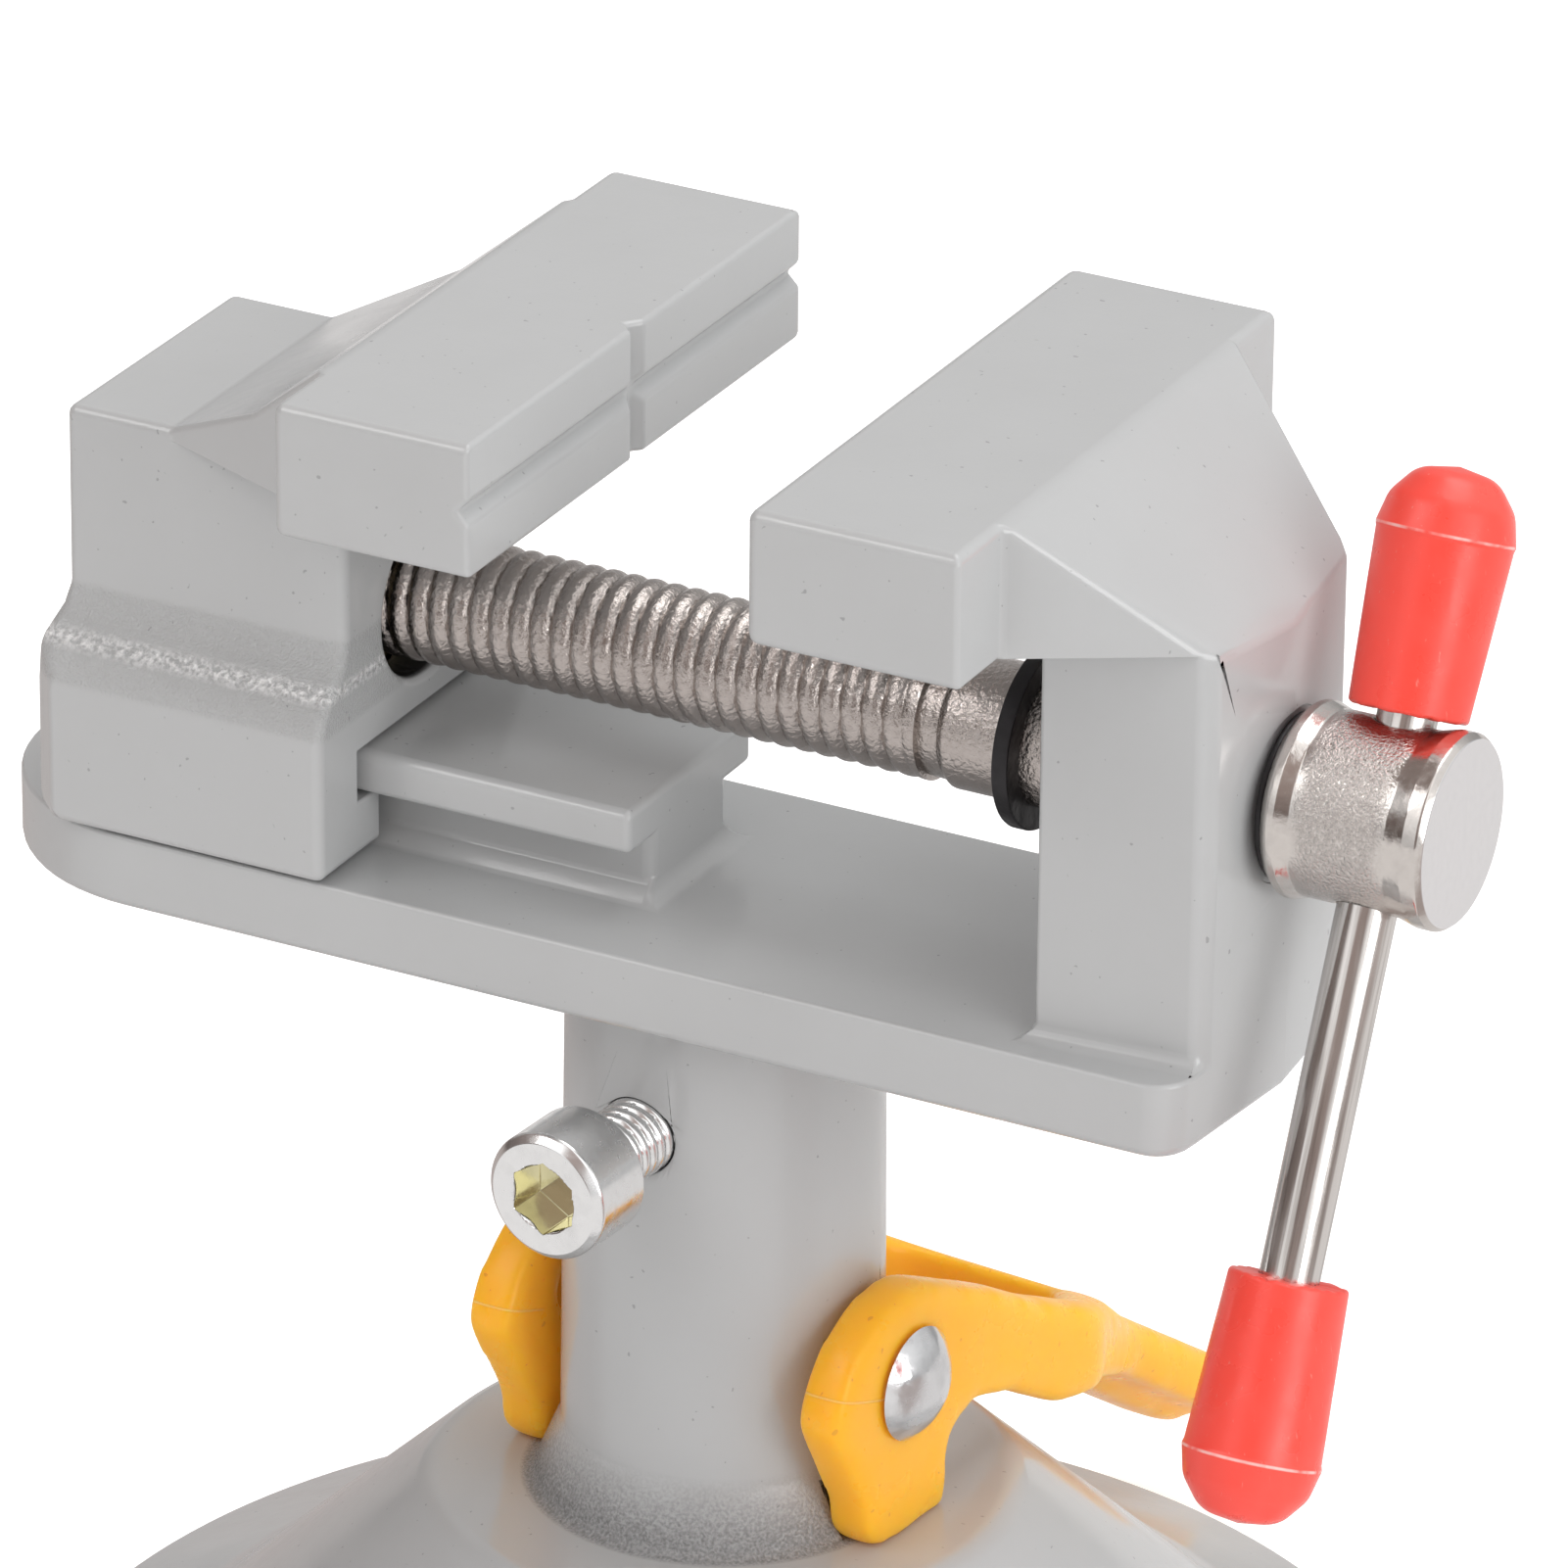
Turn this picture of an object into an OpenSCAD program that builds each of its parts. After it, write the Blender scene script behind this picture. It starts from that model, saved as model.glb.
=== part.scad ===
// Suction base vise: a small bench vise on a turning post, with a cam lever that
// pulls the middle of a rubber pad up to hold the bell shaped base on a smooth top.
// Lengths are in millimetres. The origin is on the post's axis at the bench top,
// +X points along the lead screw to its cross handle and +Z points up.

/* [Base housing] */
// Radius of the base at its rim
rim_r = 54; // [50:0.5:60]
// Height of the rim's upper edge above the bench
rim_top_z = 6.2; // [5:0.1:7]
// Height of the rim's lower edge above the bench
rim_low_z = 3.2; // [2.5:0.1:3.8]
// Width of the flat flange outside the cone's foot
flange_w = 11; // [9:0.5:13]
// Height where the cone meets the flat flange
cone_foot_z = 10.6; // [9:0.2:12]
// Radius of the flat shelf that the cam bears on
shelf_r = 22; // [21:0.5:24]
// Height of the shelf above the bench
shelf_z = 30.7; // [29:0.1:33]
// Wall thickness of the bell
bell_wall = 3; // [2:0.1:4]
// Radius of the post just above its foot
post_r = 12.1; // [11:0.1:12.3]
// Height of the post above the shelf
post_h = 42.7; // [40:0.1:47]
// How far the post's rough foot flares out
post_flare = 1.6; // [0.5:0.1:3]
// Height of the flared foot
post_flare_h = 5; // [3:0.5:8]
// Angle of the base about its axis, seen from above
base_turn = -5; // [-30:1:30]

/* [Cam pin and lever] */
// Radius of the cam pin
pin_r = 2.5; // [2:0.1:3]
// Height of the cam pin above the shelf with the lever down
pin_rise = 12.3; // [11.9:0.1:13]
// Radius of the pin's domed heads
pin_head_r = 4.4; // [3.5:0.05:5]
// Height of the pin's domed heads
pin_head_h = 2; // [1:0.1:2.5]
// Width of the upright slots that guide the pin
pin_slot_w = 7.6; // [5.5:0.2:9]
// Drop of the pin when the lever is raised
pin_drop = 3.2; // [1.5:0.1:4]
// Angle that the lever is raised through, in degrees
lever_swing = 65; // [30:1:65]
// Thickness of each fork arm
arm_t = 4.3; // [3:0.1:6]
// Half width of the lever's hub in front of the pin
hub_front = 10; // [8:0.2:10.2]
// Height of the hub above the pin
hub_top = 7.1; // [6:0.1:8]
// Where the hub meets the fork arms, from the pin
hub_back = 14; // [12:0.5:16]
// Depth of each fork arm
arm_h = 7.6; // [6:0.1:9]
// Distance from the pin to the bend in the lever's back
elbow_y = 34; // [32:0.5:38]
// Drop of the bend below the pin
elbow_fall = 9.2; // [8:0.2:11]
// Reach of the lever's tip from the pin, measured level
lever_reach = 69; // [62:1:76]
// Drop of the lever's tip below the pin
lever_fall = 33; // [26:0.5:34]
// Depth of the lever's handle at its sides
handle_t = 5.3; // [4:0.1:6]
// Half width of the lever's handle
handle_w = 7.5; // [6:0.1:8]
// Depth of the keel below the handle's sides
keel_h = 2.2; // [1:0.1:3]
// Half width of the keel
keel_w = 3.6; // [2.5:0.1:5]
// Where the fork arms start to close in, from the pin
fork_start = 27; // [24:0.5:30]
// Where the fork arms meet the handle, from the pin
fork_end = 47; // [42:0.5:54]
// Depth of the solid web where the fork arms meet, seen from above
web_t = 11; // [8:0.5:14]
// Half width of the fork's open end at the web
web_w = 6; // [4:0.2:7]

/* [Clamp screw] */
// Radius of the clamp screw's thread
clamp_r = 3; // [2.5:0.1:3.5]
// Pitch of the clamp screw's thread
clamp_pitch = 1; // [0.8:0.1:1.2]
// Depth of the clamp screw's thread
clamp_thread_d = 0.4; // [0.2:0.05:0.5]
// Distance from the post's top down to the clamp screw's axis
clamp_drop = 9.8; // [8:0.2:12]
// Radius of the clamp screw's head
clamp_head_r = 4.95; // [4.5:0.05:5.5]
// Height of the clamp screw's head
clamp_head_h = 6; // [5:0.1:7]
// Distance from the post's axis to the head's outer face
clamp_reach = 24; // [22:0.2:27]
// Width across flats of the head's hex socket
clamp_hex_w = 5; // [4:0.1:5.5]
// Depth of the head's hex socket
clamp_hex_d = 3.4; // [2:0.1:4.5]

/* [Pad and pull stem] */
// Width of the pad's thick outer ring
pad_ring_w = 10.7; // [9:0.1:12]
// Radius of the steel core above the membrane
core_r = 14; // [12:0.5:18]
// Thickness of the core's disc
core_t = 2; // [1.5:0.1:3]
// Height of the core's underside above the bench
core_z = 6.8; // [6:0.1:8]
// Thickness of the rubber membrane
membrane_t = 2.2; // [1.5:0.1:2.5]
// Radius of the core's threaded boss
boss_r = 5; // [4.5:0.1:5.5]
// Height of the boss above the disc
boss_h = 4.2; // [3:0.2:5]
// Radius of the pull stem
stem_r = 3; // [2.5:0.1:3.2]
// Radius of the stem's eye
eye_r = 5.8; // [5:0.1:6]
// Thickness of the stem's eye
eye_t = 9; // [6:0.5:9]
// Thickness of the stem's lock nut
lock_nut_h = 4; // [3:0.2:5]
// Width across flats of the stem's lock nut
lock_nut_w = 10; // [9:0.2:10.4]
// Thickness of the lock washer
lock_washer_h = 1; // [0.6:0.1:1.6]
// Mean radius of the release spring
spring_r = 9; // [8.4:0.2:11]
// Wire radius of the release spring
spring_wire_r = 0.8; // [0.5:0.1:1]
// Turns of the release spring
spring_turns = 5; // [3:1:6]

/* [Vise body] */
// Thickness of the plate
plate_t = 5.9; // [5:0.1:8]
// Half width of the plate
plate_w = 15.2; // [14.5:0.1:17]
// Reach of the plate's rounded end to the left
plate_left = 57.5; // [57:0.5:62]
// How far the plate's square end stands past the upright's outer wall
plate_lead = 0.4; // [0.2:0.1:2]
// Radius of the plate's right corners
plate_corner = 3; // [2:0.2:5]
// Radius of the spigot that turns in the post
spigot_r = 8; // [7:0.1:8.4]
// Length of the spigot below the plate
spigot_l = 21.6; // [17:0.2:22]
// Depth of the spigot's groove for the clamp screw
spigot_groove = 1.4; // [0.8:0.1:2]
// Half width of the rail's flange
rail_w = 9.35; // [8:0.1:9.8]
// Half width of the rail's neck
rail_neck_w = 5.75; // [4.5:0.1:6.5]
// Height of the flange's underside above the plate
rail_neck_h = 5.05; // [4.6:0.05:5.6]
// Thickness of the flange
rail_t = 3.4; // [3:0.1:3.8]
// Where the rail ends under the jaw opening
rail_end = -3; // [-4:0.2:-2]
// Fillet along the rail's neck
rail_fillet = 1.4; // [0.5:0.1:1.6]

/* [Jaws] */
// Width of the jaws
jaw_w = 50; // [44:0.5:56]
// Height of the jaws' underside above the plate
jaw_rise = 32.1; // [30:0.1:36]
// Height of the jaws
jaw_h = 10.3; // [9:0.1:12]
// Thickness of the sliding jaw's head
slide_head_t = 15.9; // [14:0.1:18]
// Thickness of the fixed jaw's head
fixed_head_t = 16.7; // [14:0.1:18]
// Where the sliding jaw's face stands at rest
slide_face_x = -7.5; // [-9:0.1:-6]
// Where the fixed jaw's face stands
fixed_face_x = 14.6; // [14:0.1:16]
// Depth of the grooves in the sliding jaw's face
grip_groove_d = 1; // [0.4:0.1:1.6]
// Thickness of the fixed jaw's upright
upright_t = 13.1; // [11:0.1:14]
// Half width of the fixed jaw's upright at its inner side
upright_w = 12.2; // [11:0.1:13]
// How far the upright narrows to its outer side
upright_draft = 0.9; // [0:0.1:1.5]
// How far the outer wall's middle ridge stands out
wall_ridge = 1; // [0:0.1:1.4]
// Half width of both gussets where they meet the head
gusset_w = 18.4; // [16:0.1:20]
// Drop of the fixed gusset's top at the outer wall
gusset_drop = 11.6; // [8:0.1:13]
// Thickness of the sliding jaw's upper block
block_t = 23.4; // [22:0.2:26]
// How far the foot reaches out behind the upper block
foot_lead = 1.8; // [0.5:0.1:3]
// Half width of the sliding jaw's upper block
block_w = 12; // [11:0.1:13]
// Half width of the sliding jaw's foot
foot_w = 15.9; // [14.5:0.1:17]
// Height of the foot's straight side above the plate
foot_h = 13.4; // [12:0.2:15]
// Height of the curved step between foot and upper block
step_h = 6.2; // [4:0.2:8]
// Radius of the block's rear corners
block_corner = 2.4; // [1:0.1:4]
// Reach of the sliding gusset behind the head
slide_gusset = 16; // [12:0.2:18]

/* [Lead screw and handle] */
// Height of the lead screw's axis above the plate
screw_rise = 17.3; // [16.9:0.1:18.4]
// Outer radius of the lead screw's thread
screw_r = 4.9; // [4.5:0.1:5]
// Depth of the lead screw's thread
thread_d = 0.5; // [0.3:0.05:0.7]
// Pitch of the lead screw's thread
screw_pitch = 1.7; // [1.25:0.05:2]
// Reach of the lead screw's tip to the left
screw_left = 46.5; // [46:0.5:54]
// Where the thread ends and the plain shank starts
thread_end = 17.4; // [15.4:0.2:19]
// Radius of the plain shank
shank_r = 5; // [4.6:0.1:5.2]
// Radius of the screw's head
head_r = 7.2; // [6.6:0.1:7.8]
// Length of the screw's head
head_l = 12.7; // [11:0.1:14]
// Width of the chamfers at the head's ends
head_chamfer = 0.8; // [0.3:0.1:1.5]
// Thickness of the washer behind the head
washer_t = 0.5; // [0.4:0.1:1]
// Radius of the washer behind the head
washer_r = 6.2; // [5.8:0.1:7]
// Thickness of the retaining ring
ring_t = 1.3; // [0.8:0.1:1.6]
// Radius of the retaining ring
ring_r = 6.8; // [6:0.1:7.2]
// Depth of the groove that holds the retaining ring
ring_groove = 0.6; // [0.3:0.1:0.8]
// Distance from the retaining ring to the upright
ring_gap = 5.2; // [4:0.2:6]
// Radius of the captive nut
nut_r = 7; // [6.4:0.1:7.4]
// Length of the captive nut
nut_l = 10; // [8:0.2:12]
// Radius of the mouth in the sliding jaw around the screw
mouth_r = 6.2; // [5.4:0.1:6.3]
// Depth of the mouth in front of the nut
mouth_d = 4; // [3:0.2:6]
// Radius of the cross handle
bar_r = 2.2; // [1.8:0.1:2.4]
// How far the cross hole sits past the middle of the screw's head
bar_lead = 0.4; // [0:0.1:1.5]
// Tilt of the cross handle from upright, seen along the screw
bar_tilt = 24.6; // [0:0.1:45]
// Length of the cross handle
bar_l = 66; // [60:0.5:72]
// Length of each end cap
cap_l = 17.8; // [16:0.1:20]
// Radius of an end cap at its open end
cap_r = 4.35; // [3.8:0.05:4.6]
// Radius of an end cap at its dome
cap_dome_r = 5.05; // [4.4:0.05:5.5]
// How far the bar reaches into an end cap
cap_grip = 12.6; // [10:0.1:14]

/* [Fits] */
// Clearance between pieces that slide past each other
slide_gap = 0.3; // [0.2:0.05:0.35]
// Radial clearance of shafts that turn in a hole
run_gap = 0.07; // [0.03:0.01:0.1]

/* [Hidden] */
$fn = 96;
over = 2;
edge_r = 1;
corner_share = 1 / sqrt(3);
thread_shares = [0.15, 0.5, 0.85];

// heights, from the bench up
post_top_z = shelf_z + post_h;
pin_z = shelf_z + pin_rise;
clamp_z = post_top_z - clamp_drop;
plate_z = post_top_z + slide_gap;

// bell
cone_foot_r = rim_r - flange_w;
bell_slope = (shelf_z - cone_foot_z) / (cone_foot_r - shelf_r);
ceiling_z = shelf_z - bell_wall;
ceiling_r = shelf_r - bell_wall / 2;
post_taper = 0.3;
post_top_r = post_r - post_taper;
bore_r = spigot_r + run_gap;
floor_rise = 2.6;
bore_floor_z = shelf_z + floor_rise;
guide_r = stem_r + run_gap;
slot_head_room = 1;
slot_top_z = pin_z + pin_r + slot_head_room;

// pad
ring_top_z = rim_low_z;
lip_z = 0.6;
pad_ring_out_r = rim_r - slide_gap;
pad_ring_r = pad_ring_out_r - pad_ring_w;
pad_key_t = 2;
pad_key_r = rim_r - bell_wall - pad_key_t - edge_r / 2;
pad_key_h = 1.6;
membrane_z = core_z - membrane_t;
membrane_foot_z = 0.8;

// stem and core
disc_top_z = core_z + core_t;
boss_top_z = disc_top_z + boss_h;
stem_seat_share = 0.33;
stem_low_z = disc_top_z - core_t * stem_seat_share;
nut_z = boss_top_z + lock_washer_h;
spring_low_z = disc_top_z + slide_gap;
spring_top_z = ceiling_z - slide_gap;

// cam
shelf_gap = 0.2;
cam_h = pin_z - shelf_z - shelf_gap;
cam_rate = pin_drop / lever_swing;
cam_slope = cam_rate * 180 / PI;
arm_in = post_r + slide_gap;
arm_out = arm_in + arm_t;
head_seat = arm_out + slide_gap;
dome_r = (pow(pin_head_r, 2) + pow(pin_head_h, 2)) / (2 * pin_head_h);
arm_swell = 0.9;
arm_waist = 1;
web_y = fork_end - web_t;
far_front = hub_front + over;
foot_back_share = 0.4;
heel_share = 0.46;
heel_rise_share = 0.57;
throat_share = 0.86;
throat_drop_share = 0.77;
foot_front_share = 0.24;
bulge_share = 0.65;
bulge_end_share = 0.88;
brow_share = 0.2;
tip_share = 0.6;
hub_arc_from = 78;
hub_arc_to = 165;
cam_steps = 12;

// vise body
plate_top_z = plate_z + plate_t;
jaw_low_z = plate_top_z + jaw_rise;
jaw_top_z = jaw_low_z + jaw_h;
screw_z = plate_top_z + screw_rise;
flange_z = plate_top_z + rail_neck_h;
rail_top_z = flange_z + rail_t;
fixed_back_x = fixed_face_x + fixed_head_t;
wall_x = fixed_back_x + upright_t;
ridge_x = wall_x + wall_ridge;
spot_d = 0.4;
spot_x = ridge_x - spot_d;
plate_right = wall_x + plate_lead;
slide_back_x = slide_face_x - slide_head_t;
block_lead = 1.6;
block_x = slide_back_x - block_lead;
block_rear_x = block_x - block_t;
foot_rear_x = block_rear_x - foot_lead;
foot_top_z = plate_top_z + foot_h;
step_count = 4;
gusset_mid_share = 0.45;
gusset_mid_rise_share = 0.42;
foot_low_z = plate_top_z + slide_gap;
lip_in_w = rail_neck_w + rail_fillet;
lip_gap = 0.35;
slot_low_z = flange_z - lip_gap;
slot_top2_z = rail_top_z + lip_gap;
slot_side_gap = 0.95;
slot_w = rail_w + slot_side_gap;

// screw
washer_play = 0.2;
washer_x = spot_x + slide_gap;
head_x = washer_x + washer_t + washer_play;
bar_x = head_x + head_l / 2 + bar_lead;
ring_x = fixed_back_x - ring_gap - ring_t;
ring_mouth_share = 0.8;
cap_play = 0.2;
up_cap_t = head_r + cap_play;
bar_up = up_cap_t + cap_grip;
bar_low = bar_l - bar_up;
low_cap_t = cap_grip - bar_low;
dome_from = 10;

function arc_points(cx, cy, r, a0, a1, n) =
    [for (i = [0 : n]) [cx + r * cos(a0 + (a1 - a0) * i / n), cy + r * sin(a0 + (a1 - a0) * i / n)]];

// lay a piece of the base in the base's own turned frame: x along the cam pin, y to the handle
module in_base() {
    rotate([0, 0, base_turn]) children();
}

// outline drawn in (y, z) and pushed out along x
module along_x(x0, x1) {
    translate([x0, 0, 0]) rotate([90, 0, 90]) linear_extrude(x1 - x0) children();
}

// round bar along x
module rod_x(x0, x1, r) {
    translate([x0, 0, 0]) rotate([0, 90, 0]) cylinder(h = x1 - x0, r = r);
}

module base_housing() {
    color([0.76, 0.765, 0.765]) in_base() difference() {
        rotate_extrude() polygon([
            [guide_r, ceiling_z],
            [ceiling_r, ceiling_z],
            [cone_foot_r - bell_wall, cone_foot_z - bell_wall / 2],
            [rim_r - bell_wall, rim_low_z],
            [rim_r, rim_low_z],
            [rim_r, rim_top_z - edge_r / 2],
            [rim_r - edge_r / 2, rim_top_z],
            [cone_foot_r, cone_foot_z],
            [shelf_r, shelf_z - edge_r / 2],
            [shelf_r - edge_r / 2, shelf_z],
            [post_r + post_flare, shelf_z],
            [post_r, shelf_z + post_flare_h],
            [post_top_r, post_top_z],
            [bore_r, post_top_z],
            [bore_r, bore_floor_z],
            [guide_r, bore_floor_z]
        ]);
        pin_slot();
        foot_flats();
        clamp_hole();
        translate([0, 0, rim_low_z - over]) difference() {
            cylinder(h = over + pad_key_h, r = pad_key_r + pad_key_t);
            translate([0, 0, -over]) cylinder(h = 3 * over + pad_key_h, r = pad_key_r);
        }
    }
}

// upright slots through both sides of the post
module pin_slot() {
    slot_l = 2 * (post_r + post_flare + over);
    translate([-slot_l / 2, -pin_slot_w / 2, shelf_z]) cube([slot_l, pin_slot_w, slot_top_z - shelf_z]);
}

// flats on the post's flared foot beside the lever's cam feet
module foot_flats() {
    flat_t = post_flare + over;
    for (s = [0, 1]) mirror([s, 0, 0])
        translate([post_r, -post_r, shelf_z]) cube([flat_t, 2 * post_r, post_flare_h]);
}

module clamp_hole() {
    translate([0, 0, clamp_z]) rotate([90, 0, 0]) cylinder(h = post_r + over, r = clamp_r + run_gap);
}

module suction_pad() {
    color([0.1, 0.1, 0.1]) in_base() union() {
        rotate_extrude() polygon([
            [pad_ring_r, membrane_foot_z],
            [pad_ring_r + lip_z, 0],
            [pad_ring_out_r - lip_z, 0],
            [pad_ring_out_r, lip_z],
            [pad_ring_out_r, ring_top_z],
            [pad_key_r + pad_key_t, ring_top_z],
            [pad_key_r + pad_key_t, ring_top_z + pad_key_h],
            [pad_key_r, ring_top_z + pad_key_h],
            [pad_key_r, ring_top_z],
            [pad_ring_r, ring_top_z]
        ]);
    }
}

module pad_diaphragm() {
    color([0.13, 0.13, 0.13]) in_base() rotate_extrude() polygon([
        [0, membrane_z],
        [core_r, membrane_z],
        [pad_ring_r, membrane_foot_z],
        [pad_ring_r, membrane_foot_z + membrane_t],
        [core_r, core_z],
        [0, core_z]
    ]);
}

module pad_core() {
    color([0.6, 0.6, 0.62]) in_base() rotate_extrude() polygon([
        [0, core_z],
        [core_r, core_z],
        [core_r, disc_top_z],
        [boss_r, disc_top_z],
        [boss_r, boss_top_z],
        [stem_r, boss_top_z],
        [stem_r, stem_low_z],
        [0, stem_low_z]
    ]);
}

module pull_stem() {
    color([0.7, 0.7, 0.72]) in_base() difference() {
        union() {
            translate([0, 0, stem_low_z]) cylinder(h = pin_z - stem_low_z, r = stem_r);
            translate([0, 0, pin_z]) rod_x(-eye_t / 2, eye_t / 2, eye_r);
        }
        translate([0, 0, pin_z]) rod_x(-eye_t, eye_t, pin_r);
    }
}

module stem_washer() {
    color([0.72, 0.72, 0.74]) in_base() translate([0, 0, boss_top_z]) difference() {
        cylinder(h = lock_washer_h, r = boss_r + edge_r);
        translate([0, 0, -over]) cylinder(h = lock_washer_h + 2 * over, r = stem_r);
    }
}

module stem_nut() {
    color([0.66, 0.66, 0.68]) in_base() translate([0, 0, nut_z]) difference() {
        cylinder(h = lock_nut_h, r = lock_nut_w * corner_share, $fn = 6);
        translate([0, 0, -over]) cylinder(h = lock_nut_h + 2 * over, r = stem_r);
    }
}

// one unbroken wound tube; each ring of points stands square to the helix
module wound_tube(r, wire, z0, z1, turns) {
    sides = 6;
    per_turn = 8;
    steps = turns * per_turn;
    rise = (z1 - z0 - 2 * wire) / steps;
    points = [for (i = [0 : steps]) for (j = [0 : sides - 1])
        let (a = i * 360 / per_turn, b = j * 360 / sides, q = r + wire * cos(b))
        [q * cos(a), q * sin(a), z0 + wire + i * rise + wire * sin(b)]];
    sides_lo = [for (i = [0 : steps - 1]) for (j = [0 : sides - 1])
        [i * sides + j, i * sides + (j + 1) % sides, (i + 1) * sides + j]];
    sides_hi = [for (i = [0 : steps - 1]) for (j = [0 : sides - 1])
        [i * sides + (j + 1) % sides, (i + 1) * sides + (j + 1) % sides, (i + 1) * sides + j]];
    first = [for (j = [1 : sides - 2]) [0, j + 1, j]];
    last = [for (j = [1 : sides - 2]) [steps * sides, steps * sides + j, steps * sides + j + 1]];
    polyhedron(points, concat(sides_lo, sides_hi, first, last));
}

module pad_spring() {
    color([0.55, 0.55, 0.57]) in_base()
        wound_tube(spring_r, spring_wire_r, spring_low_z, spring_top_z, spring_turns);
}

module cam_pin() {
    color([0.83, 0.84, 0.86]) in_base() translate([0, 0, pin_z]) {
        rod_x(-head_seat, head_seat, pin_r);
        pin_dome();
        mirror([1, 0, 0]) pin_dome();
    }
}

module pin_dome() {
    edge_a = asin((dome_r - pin_head_h) / dome_r);
    translate([head_seat, 0, 0]) rotate([0, 90, 0]) rotate_extrude() polygon(concat(
        [[0, 0]],
        arc_points(0, pin_head_h - dome_r, dome_r, edge_a, 90, 8)));
}

// distance from the pin to the foot's underside when the lever stands at angle a
function cam_reach(a) = cam_h - cam_rate * a;

// cam curve: the line that the foot's underside may reach, from lever down to lever raised
function cam_curve() = [for (i = [0 : cam_steps])
    let (a = lever_swing * i / cam_steps, p = cam_reach(a))
    [cam_slope * cos(a) - p * sin(a), -p * cos(a) - cam_slope * sin(a)]];

// height of the lever's back over the pin: level hub, sloping arms, steeper handle
function back_z(y) = y < elbow_y
    ? hub_top - (hub_top + elbow_fall) * y / elbow_y
    : -elbow_fall - (lever_fall - elbow_fall) * (y - elbow_y) / (lever_reach - elbow_y);

// side view of the lever about the pin, y to the handle and z up
module lever_side() {
    bulge_y = elbow_y * bulge_share;
    bulge_end_y = elbow_y * bulge_end_share;
    tip_y = lever_reach - handle_t * tip_share;
    intersection() {
        polygon(concat([
            [cam_h * foot_back_share, -cam_h],
            [cam_h * heel_share, -cam_h * heel_rise_share],
            [hub_front * throat_share, -hub_top * throat_drop_share],
            [hub_back, back_z(hub_back) - arm_h],
            [bulge_y, back_z(bulge_y) - arm_h - arm_swell],
            [bulge_end_y, back_z(bulge_end_y) - arm_h + arm_waist],
            [fork_end, back_z(fork_end) - handle_t],
            [tip_y, back_z(tip_y) - handle_t],
            [lever_reach, back_z(lever_reach) - handle_t / 2],
            [tip_y, back_z(tip_y)],
            [elbow_y, -elbow_fall]],
            arc_points(0, hub_top - hub_front, hub_front, hub_arc_from, hub_arc_to, 8),
            [[-cam_h * foot_front_share, -cam_h]]));
        cam_limit();
    }
}

// everything that stays above the cam curve
module cam_limit() {
    far = lever_reach + over;
    polygon(concat([[far, far], [far, -far], [cam_slope, -far], [cam_slope, -cam_h]],
        cam_curve(), [[-far, -hub_front * brow_share], [-far, far]]));
}

// thicker middle of the handle, seen from the side
module keel_side() {
    keel_end = lever_reach - handle_w;
    low = handle_t + keel_h;
    polygon([
        [web_y, back_z(web_y) - edge_r],
        [web_y, back_z(web_y) - low],
        [fork_end, back_z(fork_end) - low],
        [keel_end, back_z(keel_end) - low],
        [keel_end + keel_h, back_z(keel_end + keel_h) - handle_t + edge_r],
        [keel_end, back_z(keel_end) - edge_r],
        [elbow_y + edge_r, back_z(elbow_y + edge_r) - edge_r]
    ]);
}

// lever seen from above: two arms that close in to a narrow handle with a round tip
module lever_plan() {
    polygon(concat(
        [[-arm_out, -far_front], [arm_out, -far_front], [arm_out, fork_start]],
        [[handle_w, fork_end]],
        arc_points(0, lever_reach - handle_w, handle_w, 0, 180, 16),
        [[-handle_w, fork_end], [-arm_out, fork_start]]));
}

// the open fork between the arms
module fork_gap() {
    polygon([[-arm_in, -far_front - over], [arm_in, -far_front - over], [arm_in, fork_start],
        [web_w, web_y], [-web_w, web_y], [-arm_in, fork_start]]);
}

module cam_lever() {
    color([0.98, 0.7, 0.2]) in_base() translate([0, 0, pin_z]) difference() {
        union() {
            intersection() {
                along_x(-arm_out, arm_out) lever_side();
                translate([0, 0, -lever_reach]) linear_extrude(2 * lever_reach) lever_plan();
            }
            along_x(-keel_w, keel_w) keel_side();
        }
        translate([0, 0, -lever_reach - over]) linear_extrude(2 * (lever_reach + over)) fork_gap();
        rod_x(-arm_out - over, arm_out + over, pin_r + run_gap);
    }
}

// row of round ridges that stands for a thread, along z from 0 to l
function ridge_points(l, pitch, r, d) = concat(
    [[0, 0], [r - d, 0]],
    [for (z = [0 : pitch : l - pitch]) for (k = [0 : 2])
        [r - d + (k == 1 ? d : 0), z + thread_shares[k] * pitch]],
    [[r - d, l], [0, l]]);

module thread(l, pitch, r, d) {
    rotate_extrude() polygon(ridge_points(l, pitch, r, d));
}

module clamp_screw() {
    thread_l = clamp_reach - clamp_head_h - spigot_r + spigot_groove - slide_gap;
    color([0.78, 0.78, 0.77]) in_base() translate([0, -clamp_reach, clamp_z]) rotate([-90, 0, 0]) difference() {
        union() {
            rotate_extrude() polygon([
                [0, 0],
                [clamp_head_r - edge_r / 2, 0],
                [clamp_head_r, edge_r / 2],
                [clamp_head_r, clamp_head_h],
                [0, clamp_head_h]
            ]);
            translate([0, 0, clamp_head_h]) thread(thread_l, clamp_pitch, clamp_r, clamp_thread_d);
        }
        translate([0, 0, -over]) cylinder(h = clamp_hex_d + over, r = clamp_hex_w * corner_share, $fn = 6);
    }
}

// plate seen from above: round at the left, a faint ridge and small corners at the right
module plate_plan() {
    polygon(concat(
        arc_points(plate_right - plate_corner, plate_w - plate_corner, plate_corner, 0, 90, 6),
        arc_points(plate_w - plate_left, 0, plate_w, 90, 270, 32),
        arc_points(plate_right - plate_corner, plate_corner - plate_w, plate_corner, -90, 0, 6),
        [[plate_right + wall_ridge, 0]]));
}

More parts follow.
